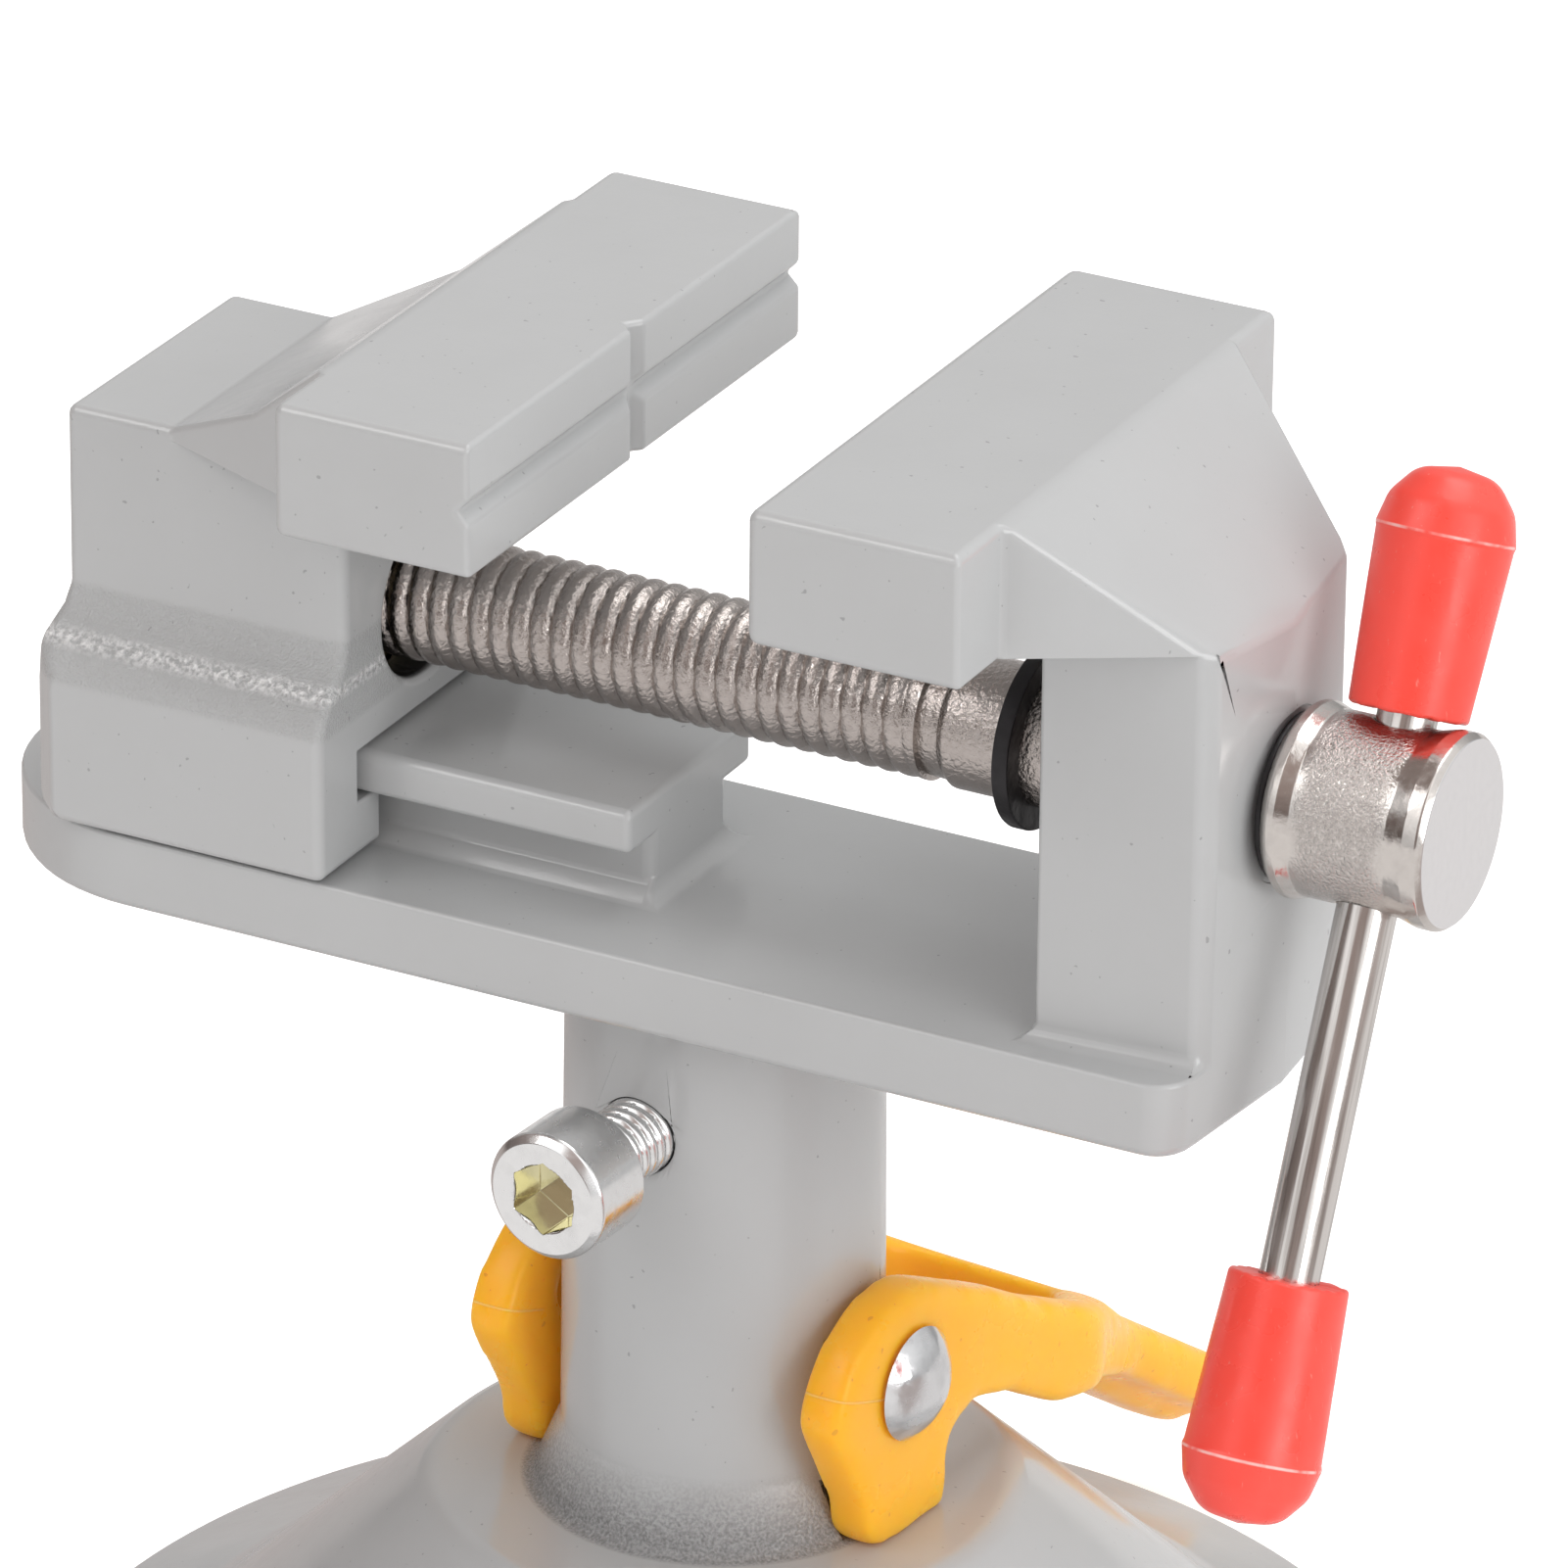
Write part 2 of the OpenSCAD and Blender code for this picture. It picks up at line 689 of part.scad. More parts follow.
// half of the rail's cross section and its mirror image
module rail_section() {
    for (s = [0, 1]) mirror([s, 0]) polygon([
        [0, plate_top_z - plate_t / 2],
        [rail_neck_w + rail_fillet, plate_top_z - plate_t / 2],
        [rail_neck_w + rail_fillet, plate_top_z],
        [rail_neck_w, plate_top_z + rail_fillet],
        [rail_neck_w, flange_z],
        [rail_w, flange_z],
        [rail_w, rail_top_z - edge_r / 2],
        [rail_w - edge_r / 2, rail_top_z],
        [0, rail_top_z]
    ]);
}

// the fixed jaw's upright with its two gussets, under one slope down to the outer wall
module upright() {
    intersection() {
        union() {
            upright_piece(fixed_back_x, plate_z + edge_r, upright_w);
            upright_piece(fixed_back_x - edge_r, jaw_low_z, gusset_w);
        }
        translate([0, gusset_w + over, 0]) rotate([90, 0, 0]) linear_extrude(2 * (gusset_w + over)) polygon([
            [fixed_back_x - edge_r, plate_z],
            [ridge_x, plate_z],
            [ridge_x, jaw_top_z - gusset_drop],
            [fixed_back_x, jaw_top_z],
            [fixed_back_x - edge_r, jaw_top_z]
        ]);
    }
}

// outline of the upright from x0 and height z0 on, w wide at the jaw
module upright_piece(x0, z0, w) {
    translate([0, 0, z0]) linear_extrude(jaw_top_z - z0) polygon([
        [x0, -w],
        [fixed_back_x, -w],
        [wall_x - edge_r, upright_draft - upright_w],
        [wall_x, upright_draft + edge_r - upright_w],
        [ridge_x, 0],
        [wall_x, upright_w - upright_draft - edge_r],
        [wall_x - edge_r, upright_w - upright_draft],
        [fixed_back_x, w],
        [x0, w]
    ]);
}

module spigot() {
    low_z = plate_z - spigot_l;
    groove_h = 2 * (clamp_r + slide_gap);
    rotate_extrude() polygon([
        [0, low_z],
        [spigot_r - edge_r, low_z],
        [spigot_r, low_z + edge_r],
        [spigot_r, clamp_z - groove_h / 2],
        [spigot_r - spigot_groove, clamp_z - groove_h / 2],
        [spigot_r - spigot_groove, clamp_z + groove_h / 2],
        [spigot_r, clamp_z + groove_h / 2],
        [spigot_r, plate_z + edge_r],
        [0, plate_z + edge_r]
    ]);
}

module vise_body() {
    color([0.765, 0.77, 0.77]) difference() {
        union() {
            translate([0, 0, plate_z]) linear_extrude(plate_t) plate_plan();
            along_x(-plate_left + plate_w / 2, rail_end) rail_section();
            translate([fixed_face_x, -jaw_w / 2, jaw_low_z]) cube([fixed_head_t, jaw_w, jaw_h]);
            upright();
            spigot();
        }
        translate([0, 0, screw_z]) rod_x(fixed_face_x, wall_x + over, shank_r + run_gap);
        translate([0, 0, screw_z]) rod_x(spot_x, ridge_x + over, washer_r + slide_gap);
    }
}

// curved step from a wide foot to a narrower block: how far in and how far up
function step_points(w, h) =
    [for (i = [0 : step_count]) [w * (1 - cos(180 * i / step_count)) / 2, h * i / step_count]];

// half of the sliding block's cross section and its mirror image
module block_section() {
    for (s = [0, 1]) mirror([s, 0]) polygon(concat([
        [0, foot_low_z],
        [foot_w - edge_r / 2, foot_low_z],
        [foot_w, foot_low_z + edge_r / 2]],
        [for (p = step_points(foot_w - block_w, step_h)) [foot_w - p[0], foot_top_z + p[1]]],
        [[block_w, jaw_low_z], [0, jaw_low_z]]));
}

// the sliding block seen from the side, x and z, with the same step round its rear
module block_side() {
    polygon(concat([
        [block_x, jaw_low_z],
        [block_x, foot_low_z],
        [foot_rear_x + edge_r / 2, foot_low_z],
        [foot_rear_x, foot_low_z + edge_r / 2]],
        [for (p = step_points(foot_lead, step_h)) [foot_rear_x + p[0], foot_top_z + p[1]]],
        [[block_rear_x, jaw_low_z]]));
}

module slide_gusset_piece() {
    intersection() {
        translate([0, 0, jaw_low_z - edge_r]) linear_extrude(jaw_h + edge_r) polygon([
            [slide_back_x + edge_r, gusset_w],
            [slide_back_x, gusset_w],
            [slide_back_x - slide_gusset, block_w],
            [slide_back_x - slide_gusset, -block_w],
            [slide_back_x, -gusset_w],
            [slide_back_x + edge_r, -gusset_w]
        ]);
        translate([0, gusset_w + over, 0]) rotate([90, 0, 0]) linear_extrude(2 * (gusset_w + over)) polygon([
            [slide_back_x + edge_r, jaw_low_z - edge_r],
            [slide_back_x + edge_r, jaw_top_z],
            [slide_back_x, jaw_top_z],
            [slide_back_x - slide_gusset * gusset_mid_share, jaw_low_z + jaw_h * gusset_mid_rise_share],
            [slide_back_x - slide_gusset, jaw_low_z],
            [slide_back_x - slide_gusset, jaw_low_z - edge_r]
        ]);
    }
}

// slot for the rail, open at both ends of the block
module rail_slot() {
    for (s = [0, 1]) mirror([s, 0]) polygon([
        [-over, foot_low_z - over],
        [lip_in_w, foot_low_z - over],
        [lip_in_w, slot_low_z],
        [slot_w, slot_low_z],
        [slot_w, slot_top2_z],
        [-over, slot_top2_z]
    ]);
}

module sliding_jaw() {
    groove_z = jaw_low_z + jaw_h / 2;
    color([0.765, 0.77, 0.77]) difference() {
        union() {
            intersection() {
                along_x(foot_rear_x, block_x) block_section();
                translate([0, foot_w + over, 0]) rotate([90, 0, 0])
                    linear_extrude(2 * (foot_w + over)) block_side();
                translate([0, 0, plate_z]) linear_extrude(jaw_top_z - plate_z) polygon([
                    [block_x, -foot_w - over],
                    [block_x, foot_w + over],
                    [foot_rear_x + block_corner, foot_w + over],
                    [foot_rear_x + block_corner, foot_w],
                    [foot_rear_x, foot_w - block_corner],
                    [foot_rear_x, block_corner - foot_w],
                    [foot_rear_x + block_corner, -foot_w],
                    [foot_rear_x + block_corner, -foot_w - over]
                ]);
            }
            translate([slide_back_x, -jaw_w / 2, jaw_low_z]) cube([slide_head_t, jaw_w, jaw_h]);
            slide_gusset_piece();
        }
        along_x(foot_rear_x - over, block_x + over) rail_slot();
        translate([0, 0, screw_z]) rod_x(block_rear_x + mouth_d, block_x + over, mouth_r);
        translate([0, 0, screw_z]) rod_x(foot_rear_x - over, block_x - mouth_d, nut_r);
        grip_groove(groove_z);
    }
}

// long groove along the face for round stock and one upright groove across it
module grip_groove(z) {
    d = grip_groove_d;
    translate([0, jaw_w / 2 + over, 0]) rotate([90, 0, 0]) linear_extrude(jaw_w + 2 * over) polygon([
        [slide_face_x - d, z],
        [slide_face_x + d, z - 2 * d],
        [slide_face_x + d, z + 2 * d]
    ]);
    translate([0, 0, jaw_low_z - over]) linear_extrude(jaw_h + 2 * over) polygon([
        [slide_face_x - d, 0],
        [slide_face_x + d, -2 * d],
        [slide_face_x + d, 2 * d]
    ]);
}

module jaw_nut() {
    color([0.7, 0.66, 0.55]) translate([0, 0, screw_z]) difference() {
        rod_x(block_x - mouth_d - nut_l, block_x - mouth_d, nut_r);
        rod_x(block_x - mouth_d - nut_l - over, block_x - mouth_d + over, screw_r + run_gap);
    }
}

module lead_screw() {
    head_end = head_x + head_l;
    thread_l = thread_end + screw_left;
    color([0.72, 0.69, 0.66]) difference() {
        translate([0, 0, screw_z]) union() {
            translate([-screw_left, 0, 0]) rotate([0, 90, 0]) thread(thread_l, screw_pitch, screw_r, thread_d);
            rotate([0, 90, 0]) rotate_extrude() polygon([
                [0, thread_end],
                [shank_r, thread_end],
                [shank_r, ring_x],
                [shank_r - ring_groove, ring_x],
                [shank_r - ring_groove, ring_x + ring_t],
                [shank_r, ring_x + ring_t],
                [shank_r, head_x],
                [head_r - head_chamfer, head_x],
                [head_r, head_x + head_chamfer],
                [head_r, head_end - head_chamfer],
                [head_r - head_chamfer, head_end],
                [0, head_end]
            ]);
        }
        on_bar() translate([0, 0, -head_r - over]) cylinder(h = 2 * (head_r + over), r = bar_r + run_gap);
    }
}

// frame of the cross handle: z along the bar, zero on the lead screw's axis
module on_bar() {
    translate([bar_x, 0, screw_z]) rotate([-bar_tilt, 0, 0]) children();
}

module head_washer() {
    color([0.25, 0.25, 0.26]) translate([0, 0, screw_z]) difference() {
        rod_x(washer_x, washer_x + washer_t, washer_r);
        rod_x(wall_x, head_x, shank_r + run_gap);
    }
}

module retaining_ring() {
    mouth = 2 * (shank_r - ring_groove) * ring_mouth_share;
    color([0.16, 0.16, 0.17]) translate([0, 0, screw_z]) difference() {
        rod_x(ring_x, ring_x + ring_t, ring_r);
        rod_x(ring_x - over, ring_x + ring_t + over, shank_r - ring_groove);
        translate([ring_x - over, 0, -mouth / 2]) cube([ring_t + 2 * over, ring_r + over, mouth]);
    }
}

module tommy_bar() {
    color([0.75, 0.74, 0.73]) on_bar() translate([0, 0, -bar_low]) cylinder(h = bar_l, r = bar_r);
}

// cap with its open end at z = 0 and its dome up
module cap() {
    dome_z = cap_l - cap_dome_r;
    difference() {
        rotate_extrude() polygon(concat(
            [[0, 0], [cap_r, 0], [cap_dome_r, dome_z]],
            arc_points(0, dome_z, cap_dome_r, dome_from, 90, 8)));
        translate([0, 0, -over]) cylinder(h = cap_grip + over, r = bar_r);
    }
}

module upper_cap() {
    color([0.93, 0.24, 0.2]) on_bar() translate([0, 0, up_cap_t]) cap();
}

module lower_cap() {
    color([0.93, 0.24, 0.2]) on_bar() translate([0, 0, low_cap_t]) mirror([0, 0, 1]) cap();
}

base_housing();
suction_pad();
pad_diaphragm();
pad_core();
pull_stem();
stem_washer();
stem_nut();
pad_spring();
cam_pin();
cam_lever();
clamp_screw();
vise_body();
sliding_jaw();
jaw_nut();
lead_screw();
head_washer();
retaining_ring();
tommy_bar();
upper_cap();
lower_cap();
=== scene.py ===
import math
import random
import bpy
import bmesh
from mathutils import Matrix, Vector


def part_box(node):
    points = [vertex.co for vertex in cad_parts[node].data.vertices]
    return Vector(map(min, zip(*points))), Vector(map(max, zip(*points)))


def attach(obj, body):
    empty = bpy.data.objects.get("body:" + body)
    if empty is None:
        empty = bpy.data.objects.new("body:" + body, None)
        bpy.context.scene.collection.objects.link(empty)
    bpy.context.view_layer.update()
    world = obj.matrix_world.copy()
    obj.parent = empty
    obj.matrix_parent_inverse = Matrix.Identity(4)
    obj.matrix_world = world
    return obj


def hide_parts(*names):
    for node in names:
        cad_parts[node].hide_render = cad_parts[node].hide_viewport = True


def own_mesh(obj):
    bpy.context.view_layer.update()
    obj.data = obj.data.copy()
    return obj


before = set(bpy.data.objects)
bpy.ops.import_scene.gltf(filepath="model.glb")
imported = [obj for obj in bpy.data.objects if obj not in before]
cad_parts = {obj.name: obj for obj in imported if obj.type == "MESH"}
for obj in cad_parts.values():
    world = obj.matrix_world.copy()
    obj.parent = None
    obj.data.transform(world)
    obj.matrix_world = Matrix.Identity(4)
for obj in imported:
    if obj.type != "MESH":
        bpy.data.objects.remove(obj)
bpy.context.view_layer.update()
MM = 0.001


# Camera: a long lens on the cross handle's side of the front, 25 degrees above level
# and rolled by half a degree, as the product photograph was taken.
view_turn, view_rise, view_roll = math.radians(-27.79), math.radians(25.35), math.radians(0.52)
lens_px, frame_px, sensor = 12604.77, 1601, 36.0
nearest, farthest = 0.01, 20
back = Vector((-math.sin(view_turn) * math.cos(view_rise),
               -math.cos(view_turn) * math.cos(view_rise), math.sin(view_rise)))
level = Vector((0, 0, 1)).cross(back).normalized()
upward = back.cross(level)
right = level * math.cos(view_roll) + upward * math.sin(view_roll)
top = upward * math.cos(view_roll) - level * math.sin(view_roll)
camera_spot = (0.3818, -0.7156, 0.4716)
bpy.ops.object.camera_add(location=camera_spot)
camera = bpy.context.object
camera.name = "camera"
place = Matrix((right, top, back)).transposed().to_4x4()
place.translation = camera.location
camera.matrix_world = place
camera.data.lens = lens_px * sensor / frame_px
camera.data.sensor_width = sensor
camera.data.clip_start = nearest
camera.data.clip_end = farthest
bpy.context.scene.camera = camera
bpy.context.scene.view_settings.view_transform = "Standard"


# Studio: a white surround for the camera, and for what the metal mirrors a sky and a
# floor with darker flags between the light panels, a pale floor that keeps the vise's
# shadow, and three large soft lamps.
def grey(level):
    return (level, level, level)


def ramp(tree, source, stops):
    made = tree.nodes.new("ShaderNodeValToRGB")
    elements = made.color_ramp.elements
    for spot, shade in stops:
        elements.new(spot).color = (*shade, 1)
    elements.remove(elements[0])
    elements.remove(elements[-1])
    tree.links.new(source, made.inputs["Fac"])
    return made.outputs["Color"]


def radial(tree, source):
    compass = tree.nodes.new("ShaderNodeTexGradient")
    compass.gradient_type = "RADIAL"
    tree.links.new(source, compass.inputs["Vector"])
    return compass.outputs["Fac"]


def by_ray(tree, path, ray, others, chosen):
    pick = tree.nodes.new("ShaderNodeMixShader")
    tree.links.new(path.outputs[ray], pick.inputs["Fac"])
    tree.links.new(others.outputs[0], pick.inputs[1])
    tree.links.new(chosen.outputs[0], pick.inputs[2])
    return pick.outputs[0]


SKY_STRENGTH = 2.5
BROWN, SHADE = (0.25, 0.205, 0.19), (0.17, 0.14, 0.13)
BRIGHT, MILD, DIM = grey(0.8), grey(0.6), grey(0.42)
sky_stops = ((0.0, grey(0.32)), (0.15, grey(0.4)), (0.4, grey(0.58)), (0.85, grey(0.74)))
panel_stops = (
    (0.015, SHADE), (0.15, SHADE), (0.17, BRIGHT), (0.228, BRIGHT), (0.25, BROWN), (0.342, BROWN),
    (0.367, BRIGHT), (0.434, BRIGHT), (0.46, MILD), (0.667, MILD), (0.7, DIM), (0.88, DIM), (0.91, SHADE))

world = bpy.data.worlds.new("studio")
bpy.context.scene.world = world
world.use_nodes = True
tree = world.node_tree
tree.nodes.clear()
seen = tree.nodes.new("ShaderNodeBackground")
seen.inputs["Color"].default_value = (*grey(1), 1)
seen.inputs["Strength"].default_value = 1.0
lit = tree.nodes.new("ShaderNodeBackground")
lit.inputs["Strength"].default_value = SKY_STRENGTH
ways = tree.nodes.new("ShaderNodeTexCoord")
parts = tree.nodes.new("ShaderNodeSeparateXYZ")
tree.links.new(ways.outputs["Generated"], parts.inputs["Vector"])
product = tree.nodes.new("ShaderNodeVectorMath")
product.operation = "MULTIPLY"
tree.links.new(ramp(tree, parts.outputs["Z"], sky_stops), product.inputs[0])
tree.links.new(ramp(tree, radial(tree, ways.outputs["Generated"]), panel_stops), product.inputs[1])
tree.links.new(product.outputs["Vector"], lit.inputs["Color"])
path = tree.nodes.new("ShaderNodeLightPath")
out = tree.nodes.new("ShaderNodeOutputWorld")
tree.links.new(by_ray(tree, path, "Is Camera Ray", lit, seen), out.inputs["Surface"])

FLOOR_SIZE, FLOOR_GREY = 6, 0.8
GLOW, GLOW_SEEN = 0.22, 0.55
LIGHT, PALE, HALF = (0.92, 0.9, 0.89), (0.8, 0.78, 0.77), (0.5, 0.44, 0.42)
card_centre = (-0.05, 0.01, 0)
card_stops = (
    (0.03, HALF), (0.055, LIGHT), (0.4, LIGHT), (0.43, HALF), (0.53, HALF), (0.56, PALE),
    (0.87, PALE), (0.9, HALF))

bpy.ops.mesh.primitive_plane_add(size=FLOOR_SIZE, location=(0, 0, 0))
floor = bpy.context.object
floor.name = "floor"
finish = bpy.data.materials.new("pale_floor")
finish.use_nodes = True
tree = finish.node_tree
tree.nodes.clear()
matt = tree.nodes.new("ShaderNodeBsdfDiffuse")
matt.inputs["Color"].default_value = (*grey(FLOOR_GREY), 1)
glow = tree.nodes.new("ShaderNodeEmission")
glow.inputs["Color"].default_value = (*grey(1), 1)
path = tree.nodes.new("ShaderNodeLightPath")
power = tree.nodes.new("ShaderNodeMapRange")
power.inputs["To Min"].default_value = GLOW
power.inputs["To Max"].default_value = GLOW_SEEN
tree.links.new(path.outputs["Is Camera Ray"], power.inputs["Value"])
tree.links.new(power.outputs["Result"], glow.inputs["Strength"])
both = tree.nodes.new("ShaderNodeAddShader")
tree.links.new(matt.outputs[0], both.inputs[0])
tree.links.new(glow.outputs[0], both.inputs[1])
around = tree.nodes.new("ShaderNodeTexCoord")
shift = tree.nodes.new("ShaderNodeMapping")
shift.inputs["Location"].default_value = card_centre
tree.links.new(around.outputs["Object"], shift.inputs["Vector"])
mirrored = tree.nodes.new("ShaderNodeEmission")
tree.links.new(ramp(tree, radial(tree, shift.outputs["Vector"]), card_stops), mirrored.inputs["Color"])
out = tree.nodes.new("ShaderNodeOutputMaterial")
tree.links.new(by_ray(tree, path, "Is Glossy Ray", both, mirrored), out.inputs["Surface"])
floor.data.materials.append(finish)

lamp_aim = Vector((0, 0, 0.08))
for name, spot, size, watts in (
        ("key_lamp", (-0.9, -0.9, 1.3), 0.7, 5.2),
        ("fill_lamp", (0.9, -0.3, 0.35), 0.5, 2.6),
        ("top_lamp", (0.1, 0.5, 1.4), 0.8, 5.2)):
    bpy.ops.object.light_add(type="AREA", location=spot)
    lamp = bpy.context.object
    lamp.name = name
    lamp.data.size = size
    lamp.data.energy = watts
    lamp.rotation_euler = (lamp_aim - Vector(spot)).to_track_quat("-Z", "Y").to_euler()


# Bell shaped base: one zinc die casting with the post, shelf and flange, sprayed with
# grey gloss paint. The post's slots, the flats beside the cam feet and the tapped hole
# are cast in; the root of the post stays rough under the paint.
ARC_PIECES = 6
WELD = 0.002
SHARP_FROM = 18
FLAT_ANGLE = math.radians(0.6)
X_AXIS, Y_AXIS, Z_AXIS = Vector((1, 0, 0)), Vector((0, 1, 0)), Vector((0, 0, 1))


def material(name, colour, roughness, metallic=0.0):
    made = bpy.data.materials.new(name)
    made.use_nodes = True
    shader = made.node_tree.nodes["Principled BSDF"]
    shader.inputs["Base Color"].default_value = (*colour, 1)
    shader.inputs["Roughness"].default_value = roughness
    shader.inputs["Metallic"].default_value = metallic
    return made


def grain(made, per_metre, detail=2.0, stretch=(1, 1, 1), lean=0.0):
    nodes, links = made.node_tree.nodes, made.node_tree.links
    where = nodes.new("ShaderNodeTexCoord")
    size = nodes.new("ShaderNodeMapping")
    size.vector_type = "TEXTURE"
    size.inputs["Rotation"].default_value = (lean, 0, 0)
    size.inputs["Scale"].default_value = [1 / part for part in stretch]
    noise = nodes.new("ShaderNodeTexNoise")
    noise.inputs["Scale"].default_value = per_metre
    noise.inputs["Detail"].default_value = detail
    links.new(where.outputs["Object"], size.inputs["Vector"])
    links.new(size.outputs["Vector"], noise.inputs["Vector"])
    return noise.outputs["Fac"]


def between(made, source, lowest, highest, to_low=0.0, to_high=1.0):
    nodes, links = made.node_tree.nodes, made.node_tree.links
    remap = nodes.new("ShaderNodeMapRange")
    limits = {"From Min": lowest, "From Max": highest, "To Min": to_low, "To Max": to_high}
    for socket, value in limits.items():
        remap.inputs[socket].default_value = value
    links.new(source, remap.inputs["Value"])
    return remap.outputs["Result"]


def slab(made, along, low, high, fade):
    nodes, links = made.node_tree.nodes, made.node_tree.links
    where = nodes.new("ShaderNodeTexCoord")
    reach = nodes.new("ShaderNodeVectorMath")
    reach.operation = "DOT_PRODUCT"
    reach.inputs[1].default_value = along
    links.new(where.outputs["Object"], reach.inputs[0])
    rise = between(made, reach.outputs["Value"], low - fade, low)
    fall = between(made, reach.outputs["Value"], high, high + fade, 1.0, 0.0)
    return times(made, rise, fall)


def times(made, first, second):
    product = made.node_tree.nodes.new("ShaderNodeMath")
    product.operation = "MULTIPLY"
    for socket, value in zip(product.inputs, (first, second)):
        if isinstance(value, (int, float)):
            socket.default_value = value
        else:
            made.node_tree.links.new(value, socket)
    return product.outputs[0]


def tint(made, amount, colour):
    nodes, links = made.node_tree.nodes, made.node_tree.links
    shader = nodes["Principled BSDF"]
    blend = nodes.new("ShaderNodeMix")
    blend.data_type = "RGBA"
    before = shader.inputs["Base Color"]
    if before.is_linked:
        links.new(before.links[0].from_socket, blend.inputs["A"])
    else:
        blend.inputs["A"].default_value = before.default_value
    blend.inputs["B"].default_value = (*colour, 1)
    links.new(amount, blend.inputs["Factor"])
    links.new(blend.outputs["Result"], before)


def emboss(made, source, depth, strength=1.0):
    nodes, links = made.node_tree.nodes, made.node_tree.links
    normal = nodes["Principled BSDF"].inputs["Normal"]
    bump = nodes.new("ShaderNodeBump")
    bump.inputs["Distance"].default_value = depth
    bump.inputs["Strength"].default_value = strength
    links.new(source, bump.inputs["Height"])
    if normal.is_linked:
        links.new(normal.links[0].from_socket, bump.inputs["Normal"])
    links.new(bump.outputs["Normal"], normal)


def gloss(made, source, low, high):
    shader = made.node_tree.nodes["Principled BSDF"]
    levels = between(made, source, 0.35, 0.65, low, high)
    made.node_tree.links.new(levels, shader.inputs["Roughness"])


def near(made, centre, across, radius, fade):
    nodes, links = made.node_tree.nodes, made.node_tree.links
    where = nodes.new("ShaderNodeTexCoord")
    flat = nodes.new("ShaderNodeVectorMath")
    flat.operation = "MULTIPLY_ADD"
    flat.inputs[1].default_value = across
    flat.inputs[2].default_value = [-a * b for a, b in zip(centre, across)]
    span = nodes.new("ShaderNodeVectorMath")
    span.operation = "LENGTH"
    links.new(where.outputs["Object"], flat.inputs[0])
    links.new(flat.outputs["Vector"], span.inputs[0])
    return between(made, span.outputs["Value"], radius, radius + fade, 1.0, 0.0)


def grey_paint(name):
    clouds, specks, satin, peel, dust = 90, 2300, 260, 420, 4200
    made = material(name, (0.482, 0.49, 0.493), 0.2)
    made.node_tree.nodes["Principled BSDF"].inputs["Specular IOR Level"].default_value = 0.6
    tint(made, between(made, grain(made, clouds, 3), 0.35, 0.75, 0, 0.16), grey(0.4))
    tint(made, between(made, grain(made, specks, 0), 0.84, 0.87, 0, 0.5), grey(0.2))
    gloss(made, grain(made, satin, 3), 0.12, 0.22)
    emboss(made, grain(made, peel, 2), 0.00003, 0.5)
    emboss(made, grain(made, dust, 2), 0.000008, 0.6)
    return made


def roughened(made, where, per_metre, colour, amount, depth):
    crust = times(made, where, between(made, grain(made, per_metre, 5), 0.36, 0.66))
    tint(made, times(made, crust, amount), colour)
    emboss(made, crust, depth)
    return made


def only(*things):
    bpy.ops.object.select_all(action="DESELECT")
    for thing in things:
        thing.select_set(True)
    bpy.context.view_layer.objects.active = things[-1]


def rounded(corners):
    points = []
    for i, corner in enumerate(corners):
        here = Vector(corner[:2])
        radius = corner[2] if len(corner) > 2 else 0
        if not radius:
            points.append(here)
            continue
        before = (Vector(corners[i - 1][:2]) - here).normalized()
        after = (Vector(corners[(i + 1) % len(corners)][:2]) - here).normalized()
        half = before.angle(after) / 2
        reach = radius / math.tan(half)
        centre = here + (before + after).normalized() * radius / math.sin(half)
        start, end = here + before * reach - centre, here + after * reach - centre
        sweep = start.angle_signed(end)
        for k in range(ARC_PIECES + 1):
            turn = -sweep * k / ARC_PIECES
            points.append(centre + Matrix.Rotation(turn, 2) @ start)
    return points


def weld(piece, gap=WELD):
    only(piece)
    bpy.ops.object.mode_set(mode="EDIT")
    bpy.ops.mesh.select_all(action="SELECT")
    bpy.ops.mesh.remove_doubles(threshold=gap * MM)
    bpy.ops.mesh.dissolve_limited(angle_limit=FLAT_ANGLE)
    bpy.ops.object.mode_set(mode="OBJECT")


def lathe(name, corners, place=Matrix(), steps=96, closed=True):
    points = rounded([(x * MM, y * MM, *(r * MM for r in rest)) for x, y, *rest in corners])
    mesh = bpy.data.meshes.new(name)
    edges = [(i, i + 1) for i in range(len(points) - 1)]
    if closed:
        edges.append((len(points) - 1, 0))
    mesh.from_pydata([(p.x, 0, p.y) for p in points], edges, [])
    piece = bpy.data.objects.new(name, mesh)
    bpy.context.scene.collection.objects.link(piece)
    only(piece)
    bpy.ops.object.mode_set(mode="EDIT")
    bpy.ops.mesh.select_all(action="SELECT")
    bpy.ops.mesh.spin(steps=steps, angle=math.tau, center=(0, 0, 0), axis=Z_AXIS)
    bpy.ops.mesh.select_all(action="SELECT")
    bpy.ops.mesh.remove_doubles(threshold=WELD * MM)
    bpy.ops.mesh.normals_make_consistent(inside=False)
    bpy.ops.object.mode_set(mode="OBJECT")
    piece.data.transform(place)
    return piece


def apply_all(piece):
    only(piece)
    for modifier in list(piece.modifiers):
        bpy.ops.object.modifier_apply(modifier=modifier.name)


def smooth(piece, degrees=32):
    only(piece)
    bpy.ops.object.shade_smooth_by_angle(angle=math.radians(degrees))
    weighted = piece.modifiers.new("weighted", "WEIGHTED_NORMAL")
    weighted.keep_sharp = True
    apply_all(piece)


def carve(piece, *tools):
    for tool in tools:
        cut = piece.modifiers.new("cut", "BOOLEAN")
        cut.object = tool
        cut.operation = "DIFFERENCE"
        cut.solver = "EXACT"
        apply_all(piece)
        bpy.data.objects.remove(tool)


